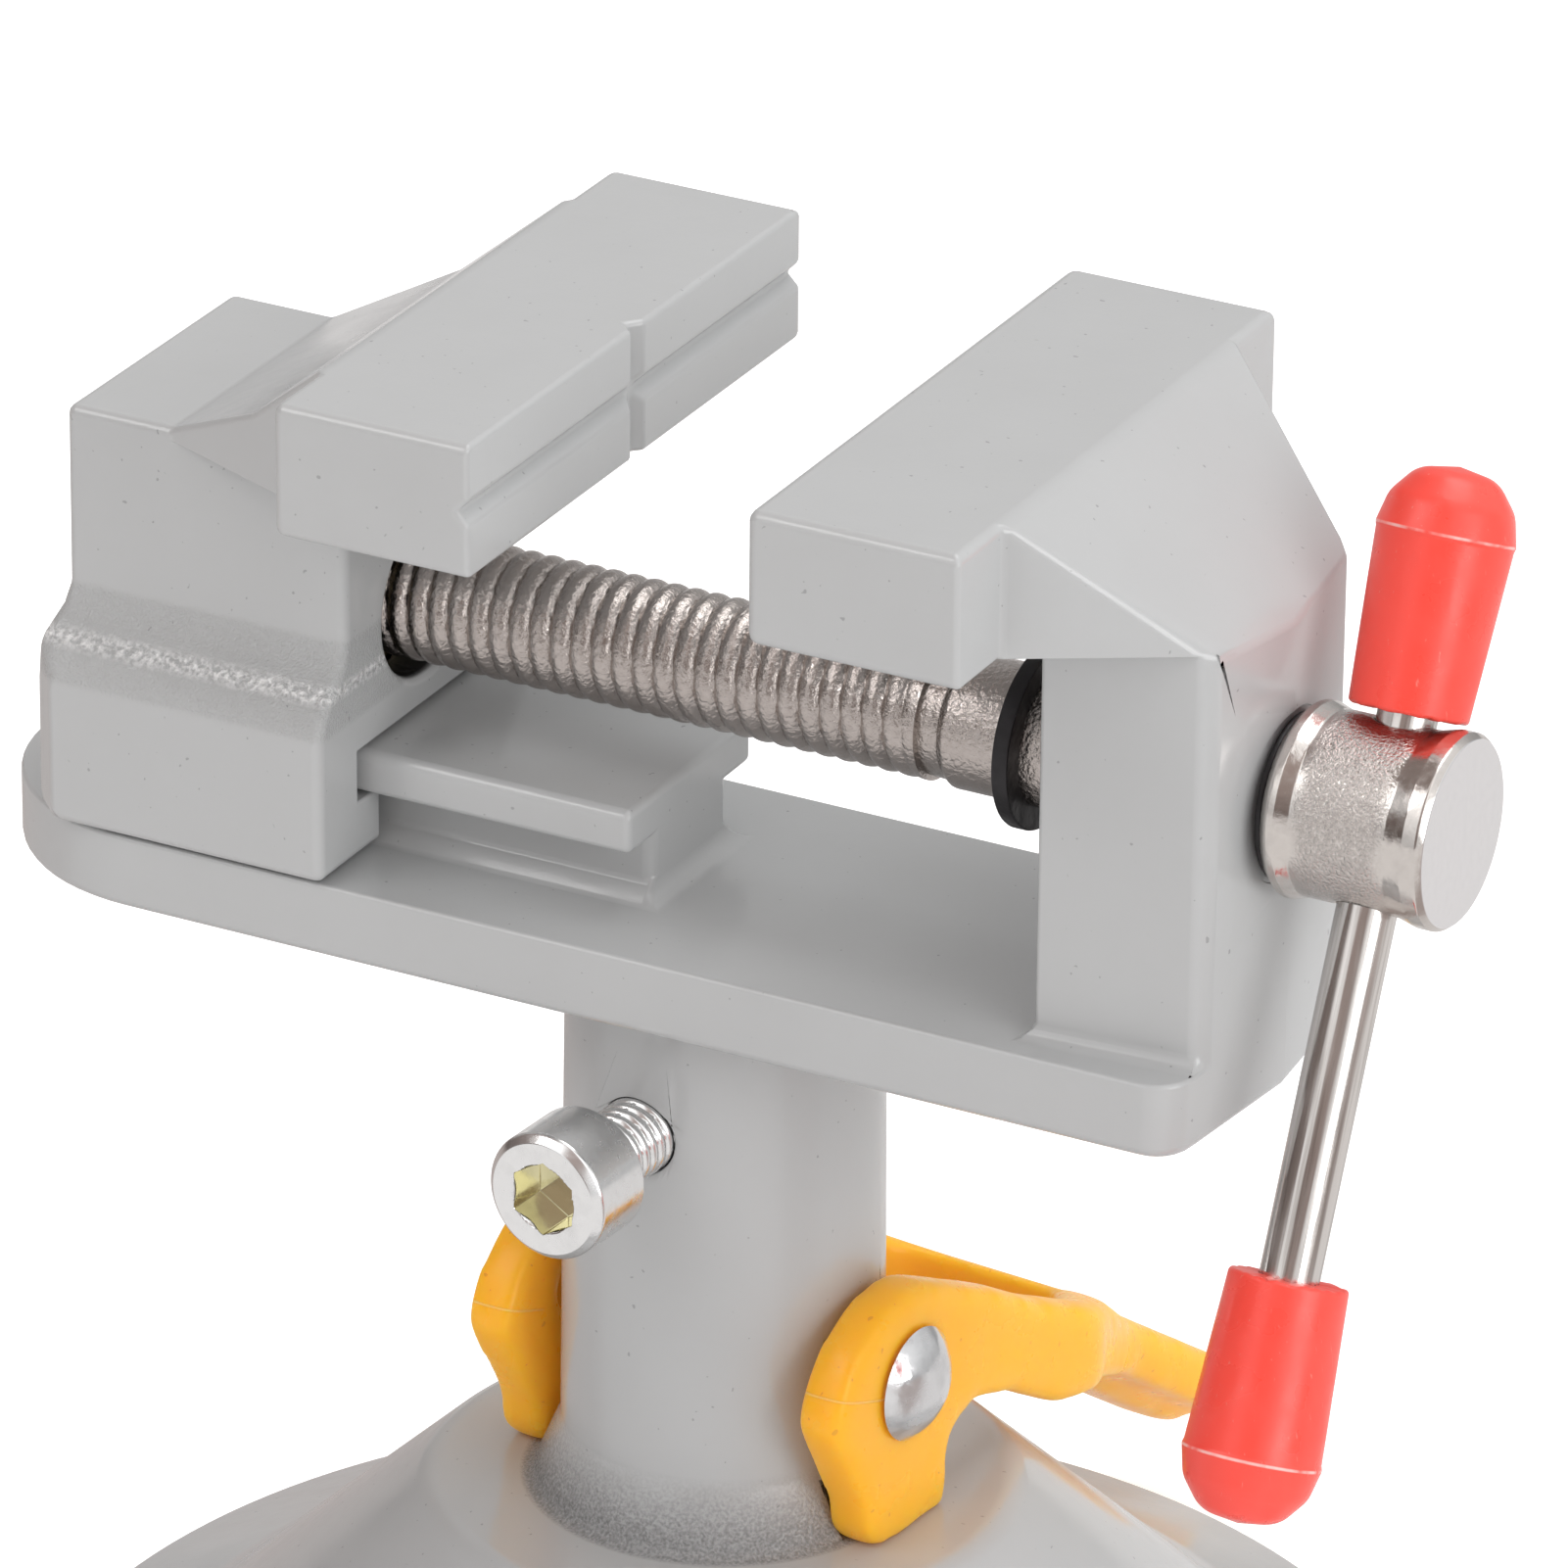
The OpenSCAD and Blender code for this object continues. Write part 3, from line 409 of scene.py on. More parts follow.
def block(lowest, highest, place=Matrix()):
    bpy.ops.object.select_all(action="DESELECT")
    bpy.ops.mesh.primitive_cube_add(size=1)
    cube = bpy.context.object
    size = Vector(highest) - Vector(lowest)
    middle = (Vector(highest) + Vector(lowest)) / 2
    cube.data.transform(Matrix.Translation(middle * MM) @ Matrix.Diagonal((*(size * MM), 1)))
    cube.data.transform(place)
    return cube


def rod(radius, start, end, sides=64):
    bpy.ops.object.select_all(action="DESELECT")
    start, end = Vector(start) * MM, Vector(end) * MM
    bpy.ops.mesh.primitive_cylinder_add(vertices=sides, radius=radius * MM, depth=(end - start).length)
    piece = bpy.context.object
    turn = Z_AXIS.rotation_difference(end - start).to_matrix().to_4x4()
    piece.data.transform(Matrix.Translation((start + end) / 2) @ turn)
    piece.matrix_world = Matrix()
    return piece


def bmesh_of(piece):
    shaped = bmesh.new()
    shaped.from_mesh(piece.data)
    return shaped


def keep(shaped, piece):
    shaped.to_mesh(piece.data)
    shaped.free()


def soften(piece, size_at, segments):
    shaped = bmesh_of(piece)
    layers = shaped.edges.layers.float
    weight = layers.get("bevel_weight_edge") or layers.new("bevel_weight_edge")
    widest = 0.0
    for edge in shaped.edges:
        if len(edge.link_faces) != 2:
            continue
        angle = math.degrees(edge.calc_face_angle(0))
        if angle > SHARP_FROM:
            middle = (edge.verts[0].co + edge.verts[1].co) / 2 / MM
            edge[weight] = size_at(middle, angle, edge.calc_face_angle_signed(0) < 0)
            widest = max(widest, edge[weight])
    for edge in shaped.edges:
        edge[weight] /= widest
    keep(shaped, piece)
    bevel = piece.modifiers.new("soft edges", "BEVEL")
    bevel.limit_method = "WEIGHT"
    bevel.width = widest * MM
    bevel.segments = segments
    bevel.use_clamp_overlap = False
    bevel.loop_slide = False
    apply_all(piece)


def dress(piece, paint, body, *stands_for):
    piece.data.materials.clear()
    piece.data.materials.append(paint)
    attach(piece, body)
    if stands_for:
        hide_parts(*stands_for)
    return piece


base_turn = math.radians(-5)
turned = Matrix.Rotation(base_turn, 4, "Z")
rim_r, rim_low, rim_high = 53.99, 3.2, 6.2
post_r, post_top = 11.8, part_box("base_housing")[1][2] / MM
draft, draft_step = 0.04, 5
shelf, ceiling, spigot_floor = 30.7, 27.7, 33.3
spigot_bore, small_bore = 8.07, 3.07
slot_half, slot_top, foot_slot_right, foot_slot_left, foot_slot_top = 3.8, 46.5, 6.4, -4.3, 35.2
clamp_z = 63.6
edge_low, edge_high, edge_r, least_r = shelf + 0.1, 66, 0.25, 0.02
housing = lathe("base_casting", [
    (small_bore, ceiling), (20.5, ceiling, 2), (40, 9.1, 2), (51, rim_low), (rim_r, rim_low, 0.5),
    (rim_r, rim_high, 1.0), (43, 10.6, 7), (22, shelf, 3.2), (14.2, shelf, 1.1), (12.1, 35.7, 2.5),
    *((12.08 - draft * k, 40 + draft_step * k) for k in range(7)),
    (post_r, post_top, 0.7), (spigot_bore, post_top, 0.3), (spigot_bore, spigot_floor),
    (small_bore, spigot_floor)], steps=160)
tapping = rod(small_bore, (0, -14, clamp_z), (0, 0, clamp_z))
tapping.data.transform(turned)
carve(housing,
      block((-16, -slot_half, shelf + 1), (16, slot_half, slot_top), turned),
      block((-17, foot_slot_left, shelf + 0.06), (17, foot_slot_right, foot_slot_top), turned),
      tapping)
soften(housing, lambda at, angle, inner: edge_r if edge_low < at.z < edge_high and angle > 30 else least_r, 2)
smooth(housing)
base_paint = grey_paint("base_paint")
root_low, root_high, root_fade = 0.0308, 0.032, 0.0045
root = times(base_paint, slab(base_paint, Z_AXIS, root_low, root_high, root_fade),
             near(base_paint, (0, 0, 0), (1, 1, 0), 0.0146, 0.0006))
tint(base_paint, times(base_paint, root, 0.4), grey(0.2))
roughened(base_paint, root, 4200, grey(0.1), 0.6, 0.00006)
dress(housing, base_paint, "base", "base_housing")


# Suction pad: one black rubber moulding. Its thick outer ring grips the bench and its
# thin middle, with moulded rings, is pulled up into a cone by the stem.
def black_rubber(name):
    made = material(name, (0.022, 0.022, 0.023), 0.55)
    gloss(made, grain(made, 500, 3), 0.45, 0.62)
    tint(made, between(made, grain(made, 120, 4), 0.5, 0.8, 0, 0.4), (0.05, 0.05, 0.052))
    emboss(made, grain(made, 2600, 2), 0.00002, 0.5)
    return made


rubber = black_rubber("pad_rubber")
ring_in, ring_out, ring_top = 43, 53.7, 3.2
lip_in, lip_out, lip_top = 48.5, 50.5, 4.8
pad = lathe("pad_ring", [
    (ring_in, 0.8, 0.2), (43.6, 0, 0.3), (53.1, 0, 0.4), (ring_out, 0.6, 0.3), (ring_out, ring_top, 0.4),
    (lip_out, ring_top), (lip_out, lip_top, 0.3), (lip_in, lip_top, 0.3), (lip_in, ring_top),
    (ring_in, ring_top, 0.4)], steps=160)
smooth(pad)
dress(pad, rubber, "base", "suction_pad")

cone_r, cone_low, cone_high, cone_drop = 14, 4.6, 6.78, 3.8
rib_step, rib_half, rib_depth = 5, 0.8, 0.35
ribs = []
for k in range(5):
    rib_r = 18 + rib_step * k
    low = cone_low - cone_drop * (rib_r - cone_r) / (ring_in - cone_r)
    ribs += [(rib_r - rib_half, low + 0.1), (rib_r, low - rib_depth, 0.3), (rib_r + rib_half, low - 0.1)]
membrane = lathe("pad_membrane", [
    (0, cone_low), (cone_r, cone_low, 1), *ribs, (42.98, 0.82), (42.98, 3.0), (cone_r, cone_high, 1),
    (0, cone_high)], closed=False)
smooth(membrane)
dress(membrane, rubber, "base", "pad_diaphragm")
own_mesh(membrane)


# Cam pin: bright nickel plated steel rivet across the post, headed over at both ends, so
# its domes carry small dents.
def plated(name, colour, low, high, dents, per_metre=900, blotch=0.5):
    made = material(name, colour, low, 1.0)
    gloss(made, grain(made, per_metre, 3), low, high)
    stains = between(made, grain(made, per_metre * 0.4, 3), 0.5, 0.75, 0, blotch)
    tint(made, stains, tuple(c * 0.55 for c in colour))
    emboss(made, grain(made, per_metre * 0.8, 3), dents)
    return made


pin_z = 43
dome_rise, dome_r, dome_seat, dome_pieces = 2.0, 4.4, 17.0, 9
pin_middle = turned @ Matrix.Translation((0, 0, pin_z * MM))
across = pin_middle @ Matrix.Rotation(math.pi / 2, 4, "Y")
dome_curve = (dome_r ** 2 + dome_rise ** 2) / (2 * dome_rise)
dome_sweep = math.asin(dome_r / dome_curve)
outline = []
for k in range(dome_pieces + 1):
    turn = dome_sweep * k / dome_pieces
    outline.append((dome_curve * math.sin(turn), dome_seat + dome_rise - dome_curve * (1 - math.cos(turn))))
outline += [(dome_r - 0.15, dome_seat - 0.02), (2.5, dome_seat - 0.02)]
pin = lathe("rivet_pin", outline + [(r, -z) for r, z in reversed(outline)], across, 64, False)
smooth(pin, 40)
dress(pin, plated("rivet_nickel", (0.78, 0.78, 0.79), 0.12, 0.32, 0.00006, 700), "plunger", "cam_pin")


# Cam lever: a fork moulded in amber nylon, softly see-through and given a faint painted glow,
# with rounded edges, thick cam feet on the shelf, a solid web, and a flat handle with a keel.
def merged_copy(node, name):
    piece = bpy.data.objects.new(name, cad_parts[node].data.copy())
    bpy.context.scene.collection.objects.link(piece)
    weld(piece)
    return piece


def share(value):
    return min(1, max(0, value))


amber = material("amber_nylon", (1.0, 0.47, 0.025), 0.3)
# The nylon also gets a faint amber emission: a painted glow that lightens the hub and arms.
amber_looks_and_glow = {
    "Subsurface Weight": 0.7, "Subsurface Radius": (0.005, 0.0025, 0.0004), "Subsurface Scale": 1.0,
    "Emission Color": (1.0, 0.42, 0.03, 1), "Emission Strength": 0.12, "Specular IOR Level": 0.35}
for socket, value in amber_looks_and_glow.items():
    amber.node_tree.nodes["Principled BSDF"].inputs[socket].default_value = value
tint(amber, between(amber, grain(amber, 60, 2), 0.35, 0.7, 0, 0.3), (0.98, 0.42, 0.02))
tint(amber, between(amber, grain(amber, 1500, 0), 0.8, 0.83, 0, 0.5), (0.4, 0.2, 0.04))
gloss(amber, grain(amber, 300, 3), 0.24, 0.4)
emboss(amber, grain(amber, 700, 2), 0.00003, 0.5)
emboss(amber, grain(amber, 3000, 2), 0.000012, 0.5)
seam_tilt, seam_low, seam_high = (0, 0.37, 1), 0.04125, 0.04135
seam = times(amber, slab(amber, seam_tilt, seam_low, seam_high, 0.00008),
             slab(amber, Y_AXIS, -0.02, -0.0048, 0.0006))
tint(amber, times(amber, seam, 0.35), (1.0, 0.8, 0.4))
emboss(amber, seam, 0.0001)

skin = 0.36
toe_push, toe_high, toe_back, toe_fade = Vector((0, -1.2, -1.2)), -7.5, 2.5, 4
swell, swell_end, swell_fade = 0.062, 18, 6
foot_sole, foot_high, foot_back, foot_relax = -12.25, -9.5, 9, 0.6
arms_start, arms_fade = 12, 12
hub_rounds, arm_rounds = 80, 40
lever = merged_copy("cam_lever", "cam_fork")
remesh = lever.modifiers.new("even skin", "REMESH")
remesh.mode = "VOXEL"
remesh.voxel_size = skin * MM
apply_all(lever)
hub, arms = (lever.vertex_groups.new(name=name) for name in ("hub", "arms"))
for vertex in lever.data.vertices:
    at = pin_middle.inverted() @ vertex.co / MM
    at += toe_push * share((toe_high - at.z) / toe_fade) * share((toe_back - at.y) / toe_fade)
    grow = 1 + swell * share((swell_end - at.y) / swell_fade)
    at.y *= grow
    at.z *= grow
    if at.y < swell_end:
        at.z = max(at.z, foot_sole)
    vertex.co = pin_middle @ (at * MM)
    in_foot = at.z < foot_high and at.y < foot_back
    hub.add([vertex.index], foot_relax if in_foot else 1.0, "REPLACE")
    arms.add([vertex.index], share((at.y - arms_start) / arms_fade), "REPLACE")
for group, rounds in ((hub, hub_rounds), (arms, arm_rounds)):
    relax = lever.modifiers.new("moulded edges", "SMOOTH")
    relax.factor = 0.5
    relax.iterations = rounds
    relax.vertex_group = group.name
apply_all(lever)
only(lever)
bpy.ops.object.shade_smooth()
dress(lever, amber, "lever", "cam_lever")


# Clamp screw: a zinc plated M6 socket cap screw, cold headed and thread rolled. The
# chromate shows yellow deep in the hex socket.
CREST_POWER = 0.55


def wound(name, start, end, radius, depth, pitch, fade, place, along, around, taper):
    rows = max(8, int((end - start) / pitch * along))
    bpy.ops.object.select_all(action="DESELECT")
    bpy.ops.mesh.primitive_grid_add(x_subdivisions=around, y_subdivisions=rows, size=2)
    piece = bpy.context.object
    for vertex in piece.data.vertices:
        turn = (vertex.co.x + 1) * math.pi
        reach = start + (vertex.co.y + 1) / 2 * (end - start)
        phase = (reach / pitch - turn / math.tau) % 1
        crest = abs(math.sin(math.pi * phase)) ** CREST_POWER
        cut = depth * (1 - crest) * share((end - reach) / fade)
        tip = taper * max(0, 1 - (reach - start) / pitch)
        r = (radius - cut - tip) * MM
        vertex.co = (r * math.cos(turn), r * math.sin(turn), reach * MM)
    only(piece)
    bpy.ops.object.mode_set(mode="EDIT")
    bpy.ops.mesh.select_all(action="SELECT")
    bpy.ops.mesh.remove_doubles(threshold=WELD * MM)
    bpy.ops.mesh.select_all(action="DESELECT")
    bpy.ops.mesh.select_non_manifold()
    bpy.ops.mesh.edge_face_add()
    bpy.ops.mesh.select_all(action="SELECT")
    bpy.ops.mesh.normals_make_consistent(inside=False)
    bpy.ops.object.mode_set(mode="OBJECT")
    piece.name = name
    piece.data.transform(place)
    only(piece)
    bpy.ops.object.shade_smooth_by_angle(angle=math.radians(50))
    return piece


def joined(*pieces):
    only(*pieces)
    bpy.ops.object.join()
    whole = bpy.context.object
    whole.name = pieces[-1].name
    return whole


cap_reach, cap_r, cap_high, key_width, key_deep, socket_r = 24, 4.95, 6, 5, 3.4, 3.0
clamp_place = turned @ Matrix.Translation((0, -cap_reach * MM, clamp_z * MM))
clamp_place = clamp_place @ Matrix.Rotation(-math.pi / 2, 4, "X")
head = lathe("cap_screw", [
    (0, 0), (4.35, 0, 0.2), (cap_r, 0.6, 0.5), (cap_r, cap_high, 0.3), (3.2, cap_high, 0.3), (2.9, 6.6),
    (0, 6.6)], closed=False)
key = rod(key_width / math.sqrt(3), (0, 0, -1), (0, 0, key_deep), 6)
funnel_r, funnel_foot, funnel_deep = 3.3, 2.45, 0.4
funnel = rod(funnel_r, (0, 0, -1), (0, 0, funnel_deep), 48)
for vertex in funnel.data.vertices:
    if vertex.co.z > 0:
        vertex.co.xy *= funnel_foot / funnel_r
carve(head, key, funnel)
soften(head, lambda at, angle, inner: 0.08 if at.xy.length < funnel_r and angle > 20 else 0.01, 2)
smooth(head)
zinc = plated("zinc_plate", grey(0.82), 0.16, 0.28, 0.000006, 1400, 0.15)
passivate = plated("zinc_chromate", (0.83, 0.8, 0.62), 0.08, 0.16, 0.00001, 900, 0.3)
head.data.materials.append(zinc)
head.data.materials.append(passivate)
for face in head.data.polygons:
    middle = face.center / MM
    face.material_index = 1 if middle.xy.length < socket_r and 0.3 < middle.z < 5 else 0
head.data.transform(clamp_place)
rolled = wound("clamp_thread", 6.3, 17.1, 3.0, 0.42, 1.0, 0.6, clamp_place, 10, 48, 0.3)
rolled.data.materials.append(zinc)
clamp = joined(rolled, head)
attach(clamp, "clamp")
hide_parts("clamp_screw")


# Vise body: plate, T-rail, fixed jaw, gusset and turning spigot in one zinc casting,
# painted like the base. Drafted walls and cast fillets run round every edge.
screw_z, spot_r = 96.9, 7.5
wall_x, spot_x = 31, 40
plate_low, side_low, side_high, plate_top = 73.6, 74.5, 78.5, 80.5
rail_low, block_low = 75.5, 84
ledge_start, ledge_end, ledge_low, ledge_high = 31.5, 43, 111.5, 111.9
jaw_low, jaw_high = 111, 121.5


def body_edge(at, angle, inner):
    by_wall = at.x > wall_x
    if ledge_start < at.x < ledge_end and ledge_low < at.z < ledge_high:
        return 0.08
    if at.x > spot_x and math.hypot(at.y, at.z - screw_z) < spot_r:
        return 0.04
    if by_wall and at.z < plate_top:
        if inner:
            return 1.2
        return 0.35 if at.z > side_high else 0.6 if at.z > side_low else 0.9
    if by_wall:
        return 0.45 if at.z < jaw_high else 0.8
    if angle < 50 or at.z < plate_low:
        return 0.3
    if at.x < 0 and at.z > block_low:
        return 0.6
    if at.z > jaw_low:
        return 0.9
    if inner:
        return 1.5
    if at.z >= plate_top:
        return 1.0
    return 0.35 if at.z > rail_low else 0.9


def faces_out(face):
    return face.normal.x > 0.9


body = merged_copy("vise_body", "vise_casting")
only(body)
bpy.ops.object.mode_set(mode="EDIT")
bpy.ops.mesh.select_all(action="DESELECT")
bpy.ops.object.mode_set(mode="OBJECT")
gusset_gap, gusset_foot_x, gusset_foot_y, gusset_foot_z = 0.6, (43, 44), 11, (111, 112.6)
plate_pull, plate_end_x, plate_end_y = 0.62, 41.5, 12.1
for vertex in body.data.vertices:
    x, y, z = vertex.co / MM
    in_foot = gusset_foot_x[0] < x < gusset_foot_x[1] and gusset_foot_z[0] < z < gusset_foot_z[1]
    vertex.select = in_foot and abs(y) > gusset_foot_y
    if x > plate_end_x and abs(y) > plate_end_y and z < plate_top:
        vertex.co.x -= plate_pull * MM
bpy.ops.object.mode_set(mode="EDIT")
bpy.ops.mesh.remove_doubles(threshold=gusset_gap * MM)
bpy.ops.object.mode_set(mode="OBJECT")

# A wedge with its ridge on the middle plane makes the plate's end flush with the wall.
wedge_side, wedge_ridge, wedge_back, wedge_half, wedge_low, wedge_high = 42.467, 45.38, 60, 30, 60, 130
beyond = block((wedge_side, -wedge_half, wedge_low), (wedge_back, wedge_half, wedge_high))
shaped = bmesh_of(beyond)
every = [*shaped.verts, *shaped.edges, *shaped.faces]
bmesh.ops.bisect_plane(shaped, geom=every, plane_co=(0, 0, 0), plane_no=Y_AXIS)
for vertex in shaped.verts:
    if abs(vertex.co.y) < 0.1 * MM and vertex.co.x < wedge_ridge * MM:
        vertex.co.x = wedge_ridge * MM
keep(shaped, beyond)
carve(body, beyond)
weld(body, 0.004)

# Cuts round the spot face let the end face's long slanted edges go, which the bevel
# would tear.
spot_side, spot_low, spot_high, end_x = 8, 88, 106, 43.5
shaped = bmesh_of(body)
for spot, way in (
        (-spot_side * Y_AXIS, Y_AXIS), (spot_side * Y_AXIS, Y_AXIS),
        (spot_low * Z_AXIS, Z_AXIS), (spot_high * Z_AXIS, Z_AXIS)):
    ends = []
    for face in shaped.faces:
        if face.calc_center_median().x > end_x * MM and faces_out(face):
            ends += [face, *face.edges, *face.verts]
    bmesh.ops.bisect_plane(shaped, geom=list(dict.fromkeys(ends)), plane_co=spot * MM, plane_no=way)
loose = []
for edge in shaped.edges:
    first, second = (vertex.co / MM for vertex in edge.verts)
    aside = max(abs(first.y), abs(second.y)) > spot_side + 0.01
    beyond_z = max(first.z, second.z) > spot_high + 0.01 or min(first.z, second.z) < spot_low - 0.01
    slanted = abs(first.y - second.y) > 0.05 and abs(first.z - second.z) > 0.05
    flat = all(map(faces_out, edge.link_faces)) and edge.calc_face_angle(1) < 0.01
    if (aside or beyond_z) and slanted and flat:
        loose.append(edge)
bmesh.ops.dissolve_edges(shaped, edges=loose)
keep(shaped, body)
soften(body, body_edge, 4)
smooth(body)
dress(body, grey_paint("body_paint"), "head", "vise_body")


# Sliding jaw: zinc casting in the same paint, with a grooved gripping face. The curved
# step round its block shows a rough line where the casting was trimmed.
gusset_x, step_x, step_side, step_low, step_high, step_shift = -23.5, -24.9, 11.9, 92.9, 99.3, 1.7


def jaw_edge(at, angle, inner):
    if at.x < gusset_x and 110.5 < at.z < jaw_low:
        return 0.08
    if at.x < gusset_x and at.z > jaw_low and abs(at.y) > 12.2:
        return 0.5
    if angle < 50:
        return 0.75 if 91 < at.z < 98 and abs(at.y) > step_side else 0.3
    if at.x > -9.5 and at.z > jaw_low:
        return 0.45
    if at.z < 90 and abs(at.y) < 11:
        return 0.25
    return 0.8


jaw = merged_copy("sliding_jaw", "jaw_casting")
for vertex in jaw.data.vertices:
    x, y, z = vertex.co / MM
    if step_low < z < step_high and abs(y) > step_side and x < step_x:
        vertex.co.z -= step_shift * MM
soften(jaw, jaw_edge, 4)
smooth(jaw)
jaw_paint = grey_paint("jaw_paint")
bend = slab(jaw_paint, Z_AXIS, 0.0915, 0.0975, 0.0005)
trimmed = slab(jaw_paint, Z_AXIS, 0.094, 0.0944, 0.0006)
# The inside of the screw's mouth is painted near black: painted shade in the hole.
mouth_shade = near(jaw_paint, (0, 0, screw_z * MM), (0, 1, 1), 0.0062, 0.0002)
roughened(jaw_paint, bend, 5200, grey(0.5), 0.0, 0.00006)
roughened(jaw_paint, trimmed, 2600, grey(1), 1.0, 0.00006)
tint(jaw_paint, mouth_shade, grey(0.05))
dress(jaw, jaw_paint, "jaw", "sliding_jaw")


# Lead screw: rolled thread on a nickel plated steel bar, with a turned shank, a ring
# groove and a round head that is drilled for the cross handle.
screw_place = Matrix.Translation((0, 0, screw_z * MM)) @ Matrix.Rotation(math.pi / 2, 4, "Y")
head_long, head_r, waist_r, hole_in = 12.7, 7.2, 6.8, 6.75
head_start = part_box("lead_screw")[1][0] / MM - head_long
shank_r, neck_r, groove_r, groove_in, groove_out = 5, 4.3, 4.4, 24.8, 26.1
nickel = plated("rough_nickel", (0.66, 0.62, 0.59), 0.12, 0.26, 0.00003, 1500, 0.2)
pits = slab(nickel, X_AXIS, (head_start + 3.5) * MM, (head_start + 8.5) * MM, 0.0012)
roughened(nickel, pits, 4200, (0.4, 0.37, 0.35), 0.4, 0.00005)
# The thread and shank are tinted darker brown, a painted dark reflection, and roughened with dark speckles
# and fine bumps.
thread_reflection_and_speckle = slab(nickel, X_AXIS, -0.06, (head_start - 1) * MM, 0.0004)
tint(nickel, thread_reflection_and_speckle, (0.5, 0.455, 0.43))
roughened(nickel, thread_reflection_and_speckle, 2600, (0.4, 0.35, 0.32), 0.3, 0.00004)
# The head's end face is tinted pale: a painted reflection of the bright studio on that face.
end_face_reflection = slab(nickel, X_AXIS, (head_start + 12.66) * MM, 0.07, 0.00005)
tint(nickel, end_face_reflection, (0.86, 0.85, 0.86))
shank = lathe("lead_screw_bar", [
    (0, 16), (neck_r, 16), (4.5, 18.2, 0.6), (4.55, 19.3), (shank_r, 19.9, 0.5), (shank_r, groove_in),
    (groove_r, groove_in), (groove_r, groove_out), (shank_r, groove_out), (shank_r, head_start),
    (6.6, head_start), (head_r, head_start + 0.6, 0.4), (head_r, head_start + 1.2, 0.5),
    (6.85, head_start + 2.2, 0.8), (waist_r, head_start + 9.6, 0.8), (head_r, head_start + 11.1, 0.6),
    (head_r, head_start + 12.2, 0.4), (waist_r, head_start + head_long, 0.2), (0, head_start + head_long)],
    screw_place, 128, False)
bar_tilt, hole_r, hole_edge = math.radians(24.6), 2.27, 0.3
lean = Vector((0, math.sin(bar_tilt), math.cos(bar_tilt)))
centre = Vector((head_start + hole_in, 0, screw_z))
carve(shank, rod(hole_r, centre - lean * 10, centre + lean * 10))
soften(shank, lambda at, angle, inner: hole_edge if head_start + 2 < at.x < head_start + 10.5 else least_r, 2)
smooth(shank)
rolled = wound("lead_thread", -46.5, 17.6, 4.9, 0.5, 1.7, 2.5, screw_place, 12, 72, 0.6)
for piece in (shank, rolled):
    piece.data.materials.clear()
    piece.data.materials.append(nickel)
screw = joined(rolled, shank)
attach(screw, "screw")
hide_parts("lead_screw")

black_oxide = material("black_oxide", (0.03, 0.028, 0.03), 0.4, 0.6)
gloss(black_oxide, grain(black_oxide, 900, 3), 0.3, 0.5)
emboss(black_oxide, grain(black_oxide, 1800, 2), 0.00003)
for node, name in (("retaining_ring", "snap_ring"), ("head_washer", "dark_washer")):
    piece = merged_copy(node, name)
    soften(piece, lambda at, angle, inner: 0.18 if angle > 50 else least_r, 2)
    smooth(piece)
    dress(piece, black_oxide, "screw", node)


# Cross handle: a plain drawn steel bar, nickel plated, with faint draw lines along it and dark brown streaks
# painted along it as reflections.
drawn = material("drawn_nickel", (0.76, 0.725, 0.7), 0.12, 1.0)
satin = grain(drawn, 500, 3, (5, 5, 0.3), -bar_tilt)
# The dark brown streaks are painted reflections; the draw lines are in the roughness and bumps.
reflection_streaks = grain(drawn, 260, 4, (6, 6, 0.2), -bar_tilt)
gloss(drawn, satin, 0.1, 0.26)
tint(drawn, between(drawn, reflection_streaks, 0.48, 0.7, 0, 0.6), (0.24, 0.21, 0.19))
emboss(drawn, grain(drawn, 420, 3, (6, 6, 0.15), -bar_tilt), 0.000012)
bar_r, bar_end, bar_low, bar_high = 2.2, 0.4, -45.98, 19.98
along_bar = Matrix.Translation(centre * MM) @ Matrix.Rotation(-bar_tilt, 4, "X")
bar = lathe("cross_bar", [
    (0, bar_low), (bar_r, bar_low, bar_end), (bar_r, bar_high, bar_end), (0, bar_high)], along_bar, 64, False)
smooth(bar)
dress(bar, drawn, "handle", "tommy_bar")


# End caps: dipped soft red plastic, a push fit on the bar, with a round dome, a thin
# flash line near the tip and a ragged open edge.
flash_up, flash_down, flash_half = 20.35, 46.35, 0.06
red = material("red_vinyl", (0.96, 0.078, 0.055), 0.3)
shader = red.node_tree.nodes["Principled BSDF"]
shader.inputs["Subsurface Weight"].default_value = 0.12
shader.inputs["Subsurface Radius"].default_value = (0.0015, 0.0004, 0.0003)
tint(red, between(red, grain(red, 160, 4), 0.5, 0.75, 0, 0.35), (0.95, 0.13, 0.1))
tint(red, between(red, grain(red, 900, 2, (4, 4, 0.4)), 0.7, 0.78, 0, 0.5), (0.9, 0.35, 0.3))
gloss(red, grain(red, 240, 4), 0.22, 0.42)
emboss(red, grain(red, 500, 3), 0.00005, 0.5)
middle = centre.dot(lean)
for spot in (middle + flash_up, middle - flash_down):
    flash = slab(red, lean, (spot - flash_half) * MM, (spot + flash_half) * MM, 0.00008)
    broken = times(red, flash, between(red, grain(red, 700, 2), 0.3, 0.6))
    tint(red, times(red, broken, 0.7), (1.0, 0.7, 0.66))

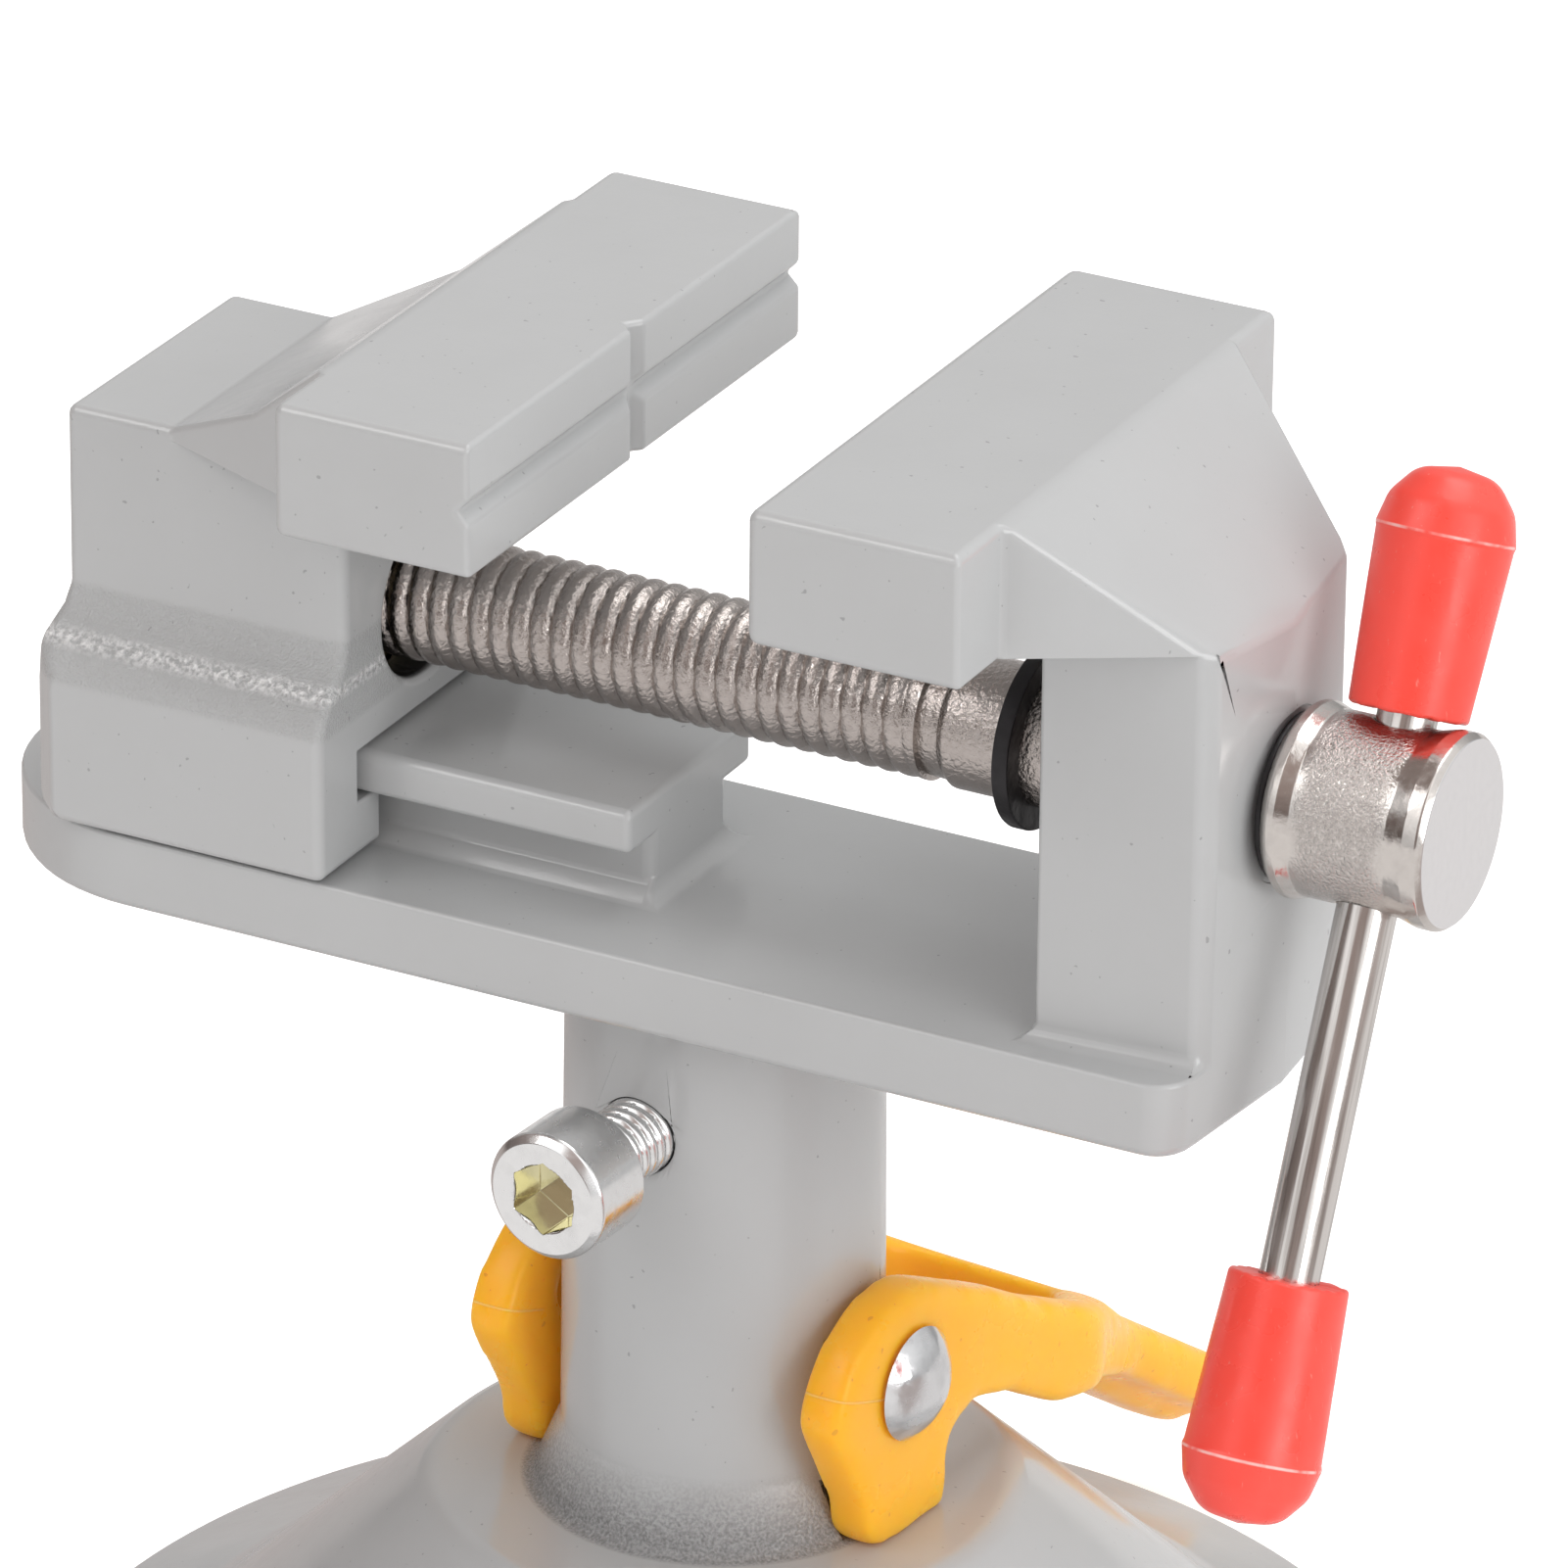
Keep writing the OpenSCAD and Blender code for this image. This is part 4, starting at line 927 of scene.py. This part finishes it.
EDGE_BUMPS = 24
cap_bore, cap_mouth, outer_r, cap_rim = 2.25, 4.35, 5.0, 13.3
edge_ragged, flash_ragged = 0.35, 0.1


def end_cap(name, place, node, seed):
    luck = random.Random(seed)
    cap = lathe(name, [
        (cap_bore, 0), (3.0, -0.05, 0.2), (cap_mouth, 0, 0.35), (4.98, 12.6, 0.2), (5.08, 12.95, 0.12),
        (outer_r, cap_rim, 0.2), (4.55, 15.2, 2.4), (2.9, 17.3, 2.4), (0, 17.8), (0, 16), (bar_r, 12.6),
        (bar_r, 12.4)], steps=72, closed=False)
    bumps = [luck.uniform(-1, 1) for k in range(EDGE_BUMPS)]
    for vertex in cap.data.vertices:
        x, y, z = vertex.co / MM
        turn = math.atan2(y, x) / math.tau % 1 * EDGE_BUMPS
        low, part = int(turn) % EDGE_BUMPS, turn % 1
        ragged = bumps[low] * (1 - part) + bumps[(low + 1) % EDGE_BUMPS] * part
        if z < 0.5:
            vertex.co.z += abs(ragged) * edge_ragged * MM * (0.5 - z)
        if 12.7 < z < 13.2:
            vertex.co.z += ragged * flash_ragged * MM
    cap.data.transform(place)
    smooth(cap, 50)
    dress(cap, red, "handle", node)


cap_up, cap_down = 7.4, -33.4
upside = Matrix.Rotation(math.pi, 4, "X")
end_cap("cap_up", along_bar @ Matrix.Translation((0, 0, cap_up * MM)), "upper_cap", 3)
end_cap("cap_low", along_bar @ Matrix.Translation((0, 0, cap_down * MM)) @ upside, "lower_cap", 8)


# Inner works: the pull stem, core, washer, nut and spring under the bell and the nut in
# the sliding jaw stay as they come in model.glb, in their own metals.
turned_steel = plated("turned_steel", (0.55, 0.55, 0.56), 0.3, 0.45, 0.00003, 1200)
spring_steel = plated("spring_wire", (0.42, 0.42, 0.44), 0.25, 0.4, 0.00002, 1500)
brass = plated("nut_brass", (0.4, 0.34, 0.22), 0.28, 0.42, 0.00003, 1200)
for node, metal in (
        ("pad_core", turned_steel), ("pull_stem", turned_steel), ("stem_washer", turned_steel),
        ("stem_nut", turned_steel), ("pad_spring", spring_steel), ("jaw_nut", brass)):
    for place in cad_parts[node].material_slots:
        place.material = metal
